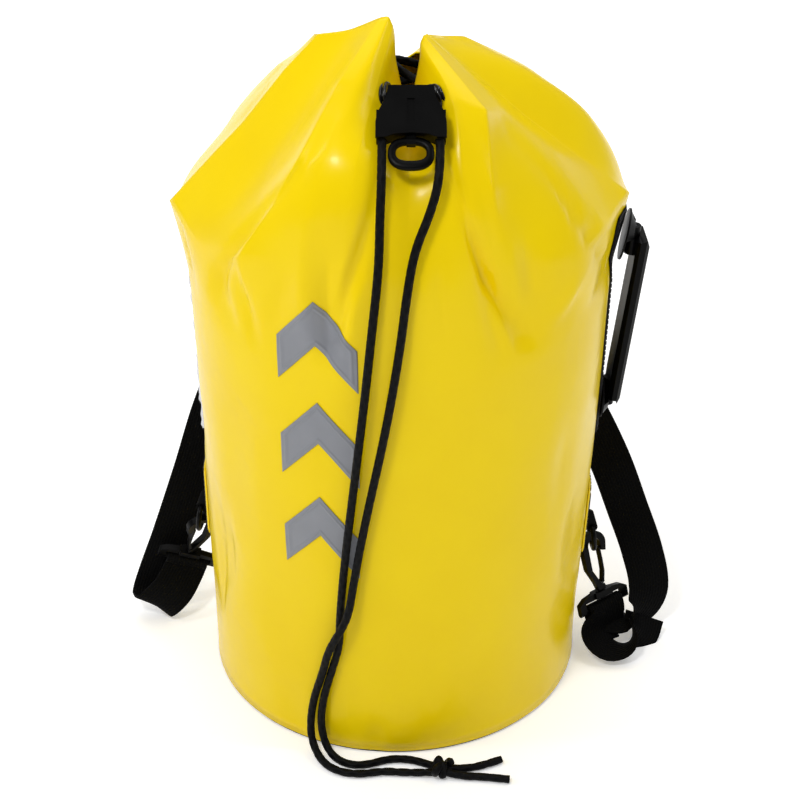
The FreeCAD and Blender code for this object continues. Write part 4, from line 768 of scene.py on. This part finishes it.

# %% [markdown]
# The drawcord is 5 mm braided polyester. Each run is a route of listed points carried by a NURBS
# curve of order 3. The tube is made round the points that the curve gives, with a crossed braid pressed
# into its surface, so that it catches the light.

# %% Cord routes
CORD_RADIUS, BORE = 2.5, 15.7
LOCK_ORIGIN = np.array((5.25, -70.7, 427.8))
LOCK_ACROSS = np.array((0.99863, -0.0523, 0.0))
LOCK_DOWN = np.array((-0.03999, -0.7649, -0.64291))
LOCK_OUT = np.cross(LOCK_DOWN, LOCK_ACROSS)


def on_lock(across, down, out=0.0):
    return LOCK_ORIGIN + LOCK_ACROSS * across + LOCK_DOWN * down + LOCK_OUT * out


LOCK_LENGTH, STRAIGHT = 31.0, 52.0
LOOP = ([on_lock(-BORE, LOCK_LENGTH), on_lock(-BORE, 12.5), on_lock(-10.4, 6.2, -1.2), on_lock(-7.2, 1.2, -5),
         on_lock(-8.4, -1.6, -10.2)]
        + [(-14, -58, 417.5), (-22, -50, 413), (-31, -28, 405), (-40, 0, 398), (-49, 22, 394.5),
           (-54.5, 35, 395.2), (-57.5, 45.5, 397.5), (-54, 56, 398), (-44.5, 63.5, 396), (-36, 59.5, 394.4),
           (-28, 51.5, 392), (-15, 42, 389.5), (2, 36.5, 387.5), (16, 42, 388.5), (26, 52, 390.5),
           (34.5, 63, 392.3), (42, 68.5, 394), (54, 64, 395.5), (65, 53, 396), (59.5, 34, 390.5),
           (50, 25, 392), (38, 17, 398), (20, 6, 409), (3, -5, 419), (-4, -14, 422), (2, -22, 419),
           (10, -26.5, 415), (18.5, -33, 412.5), (24.5, -43, 413), (28, -54, 416.5)]
        + [on_lock(8.8, 0.9, -11.7), on_lock(7.2, 2.5, -5.8), on_lock(10.4, 6.8, -1.4), on_lock(BORE, 12.5),
           on_lock(BORE, LOCK_LENGTH)])
TAIL_LEFT = [on_lock(-BORE, LOCK_LENGTH), on_lock(-BORE, STRAIGHT)] + [
    (-14, -117, 372), (-15, -125, 347), (-19, -129.7, 312), (-24, -130.2, 263), (-31, -126.8, 200),
    (-36.6, -122.7, 147), (-39.6, -119.8, 108), (-40, -118.6, 86), (-45, -116.9, 66), (-50.3, -114.4, 44),
    (-52.8, -113.2, 24), (-51, -115.4, 9), (-46, -123.5, 2.8), (-36.5, -132, 2.8), (-25, -133, 2.8),
    (-10.4, -127.7, 2.8), (3, -129, 2.8), (13, -134, 2.9), (20, -139.5, 4.5)]
TAIL_RIGHT = [on_lock(BORE, LOCK_LENGTH), on_lock(BORE, STRAIGHT)] + [
    (13.5, -115.5, 375), (4.5, -122.5, 356), (0, -129.3, 333), (-4, -132.3, 299), (-12, -131.4, 246),
    (-24, -127.2, 182), (-31.2, -125.4, 137), (-34.5, -126.4, 114), (-41, -125.2, 99), (-47, -121, 84),
    (-51, -115.6, 62), (-56.5, -111.7, 41), (-59.2, -109.9, 20), (-58.5, -114, 7), (-53, -128, 2.8),
    (-43, -138, 2.8), (-29.5, -141.4, 2.8), (-14.8, -139, 2.8), (-2, -141, 2.8), (11, -142, 2.9),
    (20, -143.5, 4.5)]
END_UPPER = [(24, -140.5, 4.5), (34, -139.5, 2.9), (45.5, -138, 2.8), (59.5, -132, 2.8)]
END_LOWER = [(24, -144, 4.5), (33, -146.3, 2.9), (47, -147.4, 2.8), (63, -150.8, 2.8)]


def route_points(route):
    """Points in mm along a NURBS curve through the route."""
    curve = bpy.data.curves.new("route", "CURVE")
    curve.dimensions = "3D"
    spline = curve.splines.new("NURBS")
    spline.points.add(len(route) - 1)
    for point, place in zip(spline.points, route):
        point.co = (*(np.array(place) * MM), 1.0)
    spline.order_u = 3
    spline.use_endpoint_u = True
    spline.resolution_u = 16
    holder = bpy.data.objects.new("route", curve)
    bpy.context.scene.collection.objects.link(holder)
    mesh = bpy.data.meshes.new_from_object(holder.evaluated_get(bpy.context.evaluated_depsgraph_get()))
    points = np.array([v.co for v in mesh.vertices]) / MM
    bpy.data.objects.remove(holder)
    bpy.data.meshes.remove(mesh)
    steps = np.linalg.norm(np.diff(points, axis=0), axis=1)
    run = np.concatenate([[0], np.cumsum(steps)])
    even = np.linspace(0, run[-1], max(8, int(run[-1] / 0.75)))
    return np.stack([np.interp(even, run, points[:, axis]) for axis in range(3)], axis=1), run[-1]


# %% [markdown]
# A tube round a path needs a frame that doesn't twist, so each ring's direction is carried from the last
# one. The braid has four ridges each way. Where a strand is on top the surface stands out a little,
# and the same number is kept as an attribute that paints shade into the gaps between strands.

# %% Braided tube
AROUND, STRANDS, PITCH = 24, 4, 9.0


def braid_height(turn, run):
    one = math.cos(STRANDS * turn + 2 * math.pi * run / PITCH)
    other = math.cos(STRANDS * turn - 2 * math.pi * run / PITCH)
    return max(one, other)


def braided_tube(name, path):
    along = np.gradient(path, axis=0)
    along /= length(along)
    side = np.cross(along[0], (0.3, 0.2, 1.0))
    points, heights, run = [], [], 0.0
    for i, centre in enumerate(path):
        run += np.linalg.norm(centre - path[i - 1]) if i else 0.0
        side = side - along[i] * side.dot(along[i])
        side /= np.linalg.norm(side)
        other = np.cross(along[i], side)
        for k in range(AROUND):
            turn = 2 * math.pi * k / AROUND
            height = braid_height(turn, run)
            points.append(centre + (side * math.cos(turn) + other * math.sin(turn))
                          * (CORD_RADIUS - 0.22 + 0.22 * height))
            heights.append(0.5 + 0.5 * height)
    faces = [(i * AROUND + k, i * AROUND + (k + 1) % AROUND, (i + 1) * AROUND + (k + 1) % AROUND,
              (i + 1) * AROUND + k) for i in range(len(path) - 1) for k in range(AROUND)]
    last = (len(path) - 1) * AROUND
    faces += [tuple(reversed(range(AROUND))), tuple(range(last, last + AROUND))]
    piece = mesh_piece(name, points, faces, braid)
    # the strand heights drive the painted shade in the gaps between strands
    shade = piece.data.attributes.new("strand", "FLOAT", "POINT")
    shade.data.foreach_set("value", heights)
    return piece


for name, route in (("drawcord_loop", LOOP), ("cord_tail_left", TAIL_LEFT), ("cord_tail_right", TAIL_RIGHT),
                    ("cord_end_a", END_UPPER), ("cord_end_b", END_LOWER)):
    path, run = route_points(route)
    piece = braided_tube(name + "_braid", path)
    belongs(piece, "bag", "cord", name)
    print(name, "runs", round(run), "mm")

# %% [markdown]
# The two tails are tied together in one overhand knot that lies on the ground. The knot is two turns of
# the same cord wound round each other: a short coil whose turns cross.

# %% Knot
KNOT = np.array((21.0, -141.5, 6.4))


def knot_point(t):
    """One pass of the knot's coil round its long axis."""
    turn = 2 * math.pi * t
    return KNOT + np.array((6.0 * math.cos(turn) * (0.6 + 0.4 * math.cos(turn * 0.5)),
                            (4.4 + 0.9 * math.sin(3 * turn)) * math.sin(2 * turn),
                            3.2 * math.cos(3 * turn)))


knot_path = np.array([knot_point(t) for t in np.linspace(0, 1, 110)])
knot_path[:, 2] = np.clip(knot_path[:, 2], 2.6, None)
knot = braided_tube("cord_knot_braid", knot_path)
belongs(knot, "bag", "cord", "cord_knot")


# %% [markdown]
# A moulded fitting never has a knife edge. Each one is a copy of its exact CAD mesh, merged and dissolved
# back to clean faces, with every corner rounded by a small bevel so that it takes a line of light.

# %% Moulded fittings
FINISHES = {"moulding": acetal, "pin": steel, "spring": steel, "base": base_coating, "webbing": webbing}
record_slots = {s["node"]: s["material_slot"] for s in frame["record"]["subparts"]}
AS_THEY_ARE = ("lock_spring", "base_panel", "ring_tab_right", "ring_tab_left")
BUILT_HERE = ("lock_slider",)


def softened(node, radius_mm):
    source = frame["nodes"][node]
    mesh = bmesh.new()
    mesh.from_mesh(source.data)
    bmesh.ops.remove_doubles(mesh, verts=mesh.verts, dist=0.004 * MM)
    bmesh.ops.dissolve_limit(mesh, angle_limit=math.radians(1.5), verts=mesh.verts, edges=mesh.edges)
    keen_edges = [e for e in mesh.edges if e.is_manifold and e.calc_face_angle(0.0) > math.radians(30)]
    bmesh.ops.bevel(mesh, geom=keen_edges, offset=radius_mm * MM, segments=2, profile=0.5, affect="EDGES",
                    clamp_overlap=True)
    data = bpy.data.meshes.new(node + "_moulded")
    mesh.to_mesh(data)
    mesh.free()
    data.polygons.foreach_set("use_smooth", [True] * len(data.polygons))
    data.set_sharp_from_angle(angle=math.radians(40))
    data.materials.clear()
    data.materials.append(FINISHES[record_slots[node]])
    piece = bpy.data.objects.new(node + "_moulded", data)
    bpy.context.scene.collection.objects.link(piece)
    flatter = piece.modifiers.new("flat faces stay flat", "WEIGHTED_NORMAL")
    flatter.keep_sharp, flatter.weight = True, 90
    return apply_modifiers(piece)


for node, fitting in frame["nodes"].items():
    if fitting.hide_render or node in BUILT_HERE:
        continue
    if node in AS_THEY_ARE:
        fitting.data.materials.clear()
        fitting.data.materials.append(FINISHES[record_slots[node]])
        continue
    body = fitting["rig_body"]
    belongs(softened(node, 0.35), body, record_slots[node], node)
    print("rounded the corners of", node, "on", body)

# %% [markdown]
# The finger ring of the lock is the one part that a hand pulls, so it is a smooth oval loop. It is swept
# as an oval tube with its neck and the jaw that grips the cords behind the plate.

# %% Finger ring


def lock_frame_matrix():
    turn = Matrix((LOCK_ACROSS, -LOCK_DOWN, LOCK_OUT)).transposed().to_4x4()
    return Matrix.Translation(Vector(LOCK_ORIGIN)) @ turn


RING_MIDDLE, RING_HALF_WIDTH, RING_HALF_LENGTH = -38.6, 10.4, 7.3
BAR_HALF_WIDTH, BAR_HALF_DEPTH = 2.2, 2.0   # the bar is wider at the far end, where the finger pulls
on_frame = lock_frame_matrix()
points, faces = [], []
SIDES, SECTION = 64, 12
for k in range(SIDES):
    turn = 2 * math.pi * k / SIDES
    c, s = math.cos(turn), math.sin(turn)
    centre = Vector((RING_HALF_WIDTH * math.copysign(abs(c) ** 0.8, c),
                     RING_MIDDLE + RING_HALF_LENGTH * math.copysign(abs(s) ** 0.8, s), 0))
    out = Vector((c / RING_HALF_WIDTH, s / RING_HALF_LENGTH, 0)).normalized()
    for i in range(SECTION):
        swing = 2 * math.pi * i / SECTION
        flat, deep = math.cos(swing), math.sin(swing)
        wide = (BAR_HALF_WIDTH - 0.5 * min(s, 0.0)) * math.copysign(abs(flat) ** 0.6, flat)
        thick = BAR_HALF_DEPTH * math.copysign(abs(deep) ** 0.6, deep)
        points.append(on_frame @ (centre + out * wide + Vector((0, 0, thick))))
for k in range(SIDES):
    for i in range(SECTION):
        following, above = (k + 1) % SIDES, (i + 1) % SECTION
        faces.append((k * SECTION + i, following * SECTION + i,
                      following * SECTION + above, k * SECTION + above))


def add_slab(points, faces, outline, half_depth):
    start, count = len(points), len(outline)
    for z in (-half_depth, half_depth):
        points += [on_frame @ Vector((x, y, z)) for x, y in outline]
    faces.append(tuple(start + i for i in reversed(range(count))))
    faces.append(tuple(start + count + i for i in range(count)))
    for i in range(count):
        j = (i + 1) % count
        faces.append((start + i, start + j, start + count + j, start + count + i))


add_slab(points, faces, [(-2.5, -34.0), (2.5, -34.0), (2.5, -22.0), (-2.5, -22.0)], 1.9)
add_slab(points, faces, [(-12.9, -20.3), (-12.9, -16.3), (12.9, -16.3), (12.9, -20.3)][::-1], 1.9)
finger_ring = mesh_piece("finger_ring", points, faces, acetal)
finger_ring.data.set_sharp_from_angle(angle=math.radians(50))
belongs(finger_ring, "release", "moulding", "lock_slider")

# %% [markdown]
# Stitches follow seams, so Geometry Nodes lay them: the seam is a line of edges on the skin, the tree
# spaces points along it, sets a short thread on each and turns it to the seam's own direction.

# %% Stitch tree


def stitch_tree():
    tree = bpy.data.node_groups.new("stitch_row", "GeometryNodeTree")
    for name, kind in (("Seam", "NodeSocketGeometry"), ("Pitch", "NodeSocketFloat"),
                       ("Thread length", "NodeSocketFloat"), ("Thread radius", "NodeSocketFloat"),
                       ("Thread", "NodeSocketMaterial")):
        tree.interface.new_socket(name, in_out="INPUT", socket_type=kind)
    tree.interface.new_socket("Stitches", in_out="OUTPUT", socket_type="NodeSocketGeometry")
    given = add(tree, "NodeGroupInput").outputs
    line = add(tree, "GeometryNodeMeshToCurve", i0=given["Seam"])
    spaced = add(tree, "GeometryNodeResampleCurve", {"mode": "LENGTH"}, Curve=line.outputs[0],
                 Length=given["Pitch"])
    tangent = add(tree, "GeometryNodeInputTangent")
    aligned = add(tree, "FunctionNodeAlignRotationToVector", {"axis": "Z"}, Vector=tangent.outputs[0])
    one = add(tree, "GeometryNodeMeshCylinder", {"Vertices": 6}, Radius=given["Thread radius"],
              Depth=given["Thread length"])
    placed = add(tree, "GeometryNodeInstanceOnPoints", Points=spaced.outputs[0], Instance=one.outputs["Mesh"],
                 Rotation=aligned.outputs[0])
    real = add(tree, "GeometryNodeRealizeInstances", Geometry=placed.outputs[0])
    finished = add(tree, "GeometryNodeSetMaterial", Geometry=real.outputs[0], Material=given["Thread"])
    result = add(tree, "NodeGroupOutput")
    tree.links.new(finished.outputs[0], result.inputs[0])
    return tree


def seam_rows(rows):
    """Each row is a list of (angle, height, lift) on the skin."""
    points, edges = [], []
    for row in rows:
        start = len(points)
        points += [skin_at(*spot)[0] * MM for spot in row]
        edges += [(start + i, start + i + 1) for i in range(len(row) - 1)]
    mesh = bpy.data.meshes.new("seams")
    mesh.from_pydata([tuple(p) for p in points], edges, [])
    return mesh


def box_of(middle, half, low, high, lift):
    sides = [(middle - half, low), (middle + half, low), (middle + half, high), (middle - half, high)]
    rows = []
    for (a, z), (b, y) in zip(sides, sides[1:] + sides[:1]):
        rows.append([(a + (b - a) * t, z + (y - z) * t, lift) for t in np.linspace(0, 1, 12)])
    return rows


seams, pad_seams = box_of(90, 6.1, 171, 317, 1.75) + box_of(180, 33.2, 288.5, 305.5, 1.75), []
for angle, z in ((91.4, 89.0), (260.2, 101.0)):
    seams += box_of(angle, math.degrees(23.0 / body_radius(z)), z - 6, z + 40, 1.75)
for share in (1 / 3, 2 / 3):
    middle = PAD_MIDDLE - PAD_HALF + (2 * PAD_HALF + PAD_WING) * share
    pad_seams.append([(middle, z, 4.3) for z in np.linspace(PAD_LOW + 6, PAD_HIGH - 6, 40)])
sewing = stitch_tree()
for name, rows, colour, slot in (("stitching", seams, thread, "webbing"),
                                 ("pad_stitching", pad_seams, pale_thread, "pad")):
    stitching = bpy.data.objects.new(name, seam_rows(rows))
    bpy.context.scene.collection.objects.link(stitching)
    rows_modifier = stitching.modifiers.new("stitches", "NODES")
    rows_modifier.node_group = sewing
    values = {"Pitch": 3.6 * MM, "Thread length": 2.6 * MM, "Thread radius": 0.32 * MM, "Thread": colour}
    for socket in sewing.interface.items_tree:
        if socket.in_out == "INPUT" and socket.name in values:
            rows_modifier[socket.identifier] = values[socket.name]
    apply_modifiers(stitching)
    belongs(stitching, "bag", slot)
    print(name + ":", len(stitching.data.polygons) // 8, "stitches")

# %% [markdown]
# A pale seamless floor, a small key light at the upper left, a strip on each side and a broad box above
# leave highlights on the glossy skin. The camera looks down at the bag from a little over a metre.

# %% Floor, light and camera
floor_material, tree, surface = new_material("studio_floor", {"Roughness": 0.8})
surface.inputs["Base Color"].default_value = linear("#F6F6F6")
# the floor glows, which is painted light: its glow rises from 0.3 beside the bag to 1.0 far off, keeping it
# white and throwing light up onto the bag
surface.inputs["Emission Color"].default_value = (1, 1, 1, 1)
away = add(tree, "ShaderNodeVectorMath", {"operation": "LENGTH"},
           i0=add(tree, "ShaderNodeTexCoord").outputs["Object"])
glow = add(tree, "ShaderNodeMapRange", {"From Min": 0.7, "From Max": 2.2, "To Min": 0.3, "To Max": 1.0},
           Value=away.outputs["Value"])
tree.links.new(glow.outputs["Result"], surface.inputs["Emission Strength"])
bpy.ops.mesh.primitive_plane_add(size=8)
floor = bpy.context.object
floor.name = "floor"
floor.data.materials.append(floor_material)

world = bpy.data.worlds.new("studio")
bpy.context.scene.world = world
world.use_nodes = True
ambient = world.node_tree.nodes["Background"]
ambient.inputs["Color"].default_value = (1, 1, 1, 1)
ambient.inputs["Strength"].default_value = 0.3
seen = add(world.node_tree, "ShaderNodeBackground", {"Strength": 1.0})
seen.inputs["Color"].default_value = (1, 1, 1, 1)
choice = add(world.node_tree, "ShaderNodeMixShader",
             i0=add(world.node_tree, "ShaderNodeLightPath").outputs["Is Camera Ray"],
             i1=ambient.outputs[0], i2=seen.outputs[0])
world.node_tree.links.new(choice.outputs[0], world.node_tree.nodes["World Output"].inputs["Surface"])


def soft_box(name, place, size, watts, target=(0, 0, 0.25)):
    light = bpy.data.lights.new(name, "AREA")
    light.shape, light.size, light.size_y, light.energy = "RECTANGLE", size[0], size[1], watts
    holder = bpy.data.objects.new(name, light)
    bpy.context.scene.collection.objects.link(holder)
    holder.location = place
    holder.rotation_mode = "QUATERNION"
    holder.rotation_quaternion = (Vector(target) - Vector(place)).to_track_quat("-Z", "Y")


soft_box("front_box", (-0.6, -1.0, 1.75), (0.3, 0.3), 13, (0, 0, 0.3))
soft_box("left_strip", (-1.15, -0.25, 1.25), (0.1, 0.9), 3.5, (0, 0, 0.38))
soft_box("right_strip", (1.1, -0.35, 1.35), (0.1, 0.9), 3.5, (0, 0, 0.38))
soft_box("overhead", (0, 1.1, 2.4), (3.0, 3.0), 42)

PITCH_DOWN, TURN, REACH, EYE_HEIGHT = 31.2, -3.0, 1.105, 0.857
lens = bpy.data.cameras.new("camera")
lens.sensor_width, lens.lens = 36, 91.8
camera = bpy.data.objects.new("camera", lens)
bpy.context.scene.collection.objects.link(camera)
turn = math.radians(TURN)
camera.location = (math.sin(turn) * REACH + 0.003, -math.cos(turn) * REACH, EYE_HEIGHT)
camera.rotation_euler = (math.pi / 2 - math.radians(PITCH_DOWN), 0, turn)
bpy.context.scene.camera = camera
bpy.context.scene.view_settings.view_transform = "Standard"
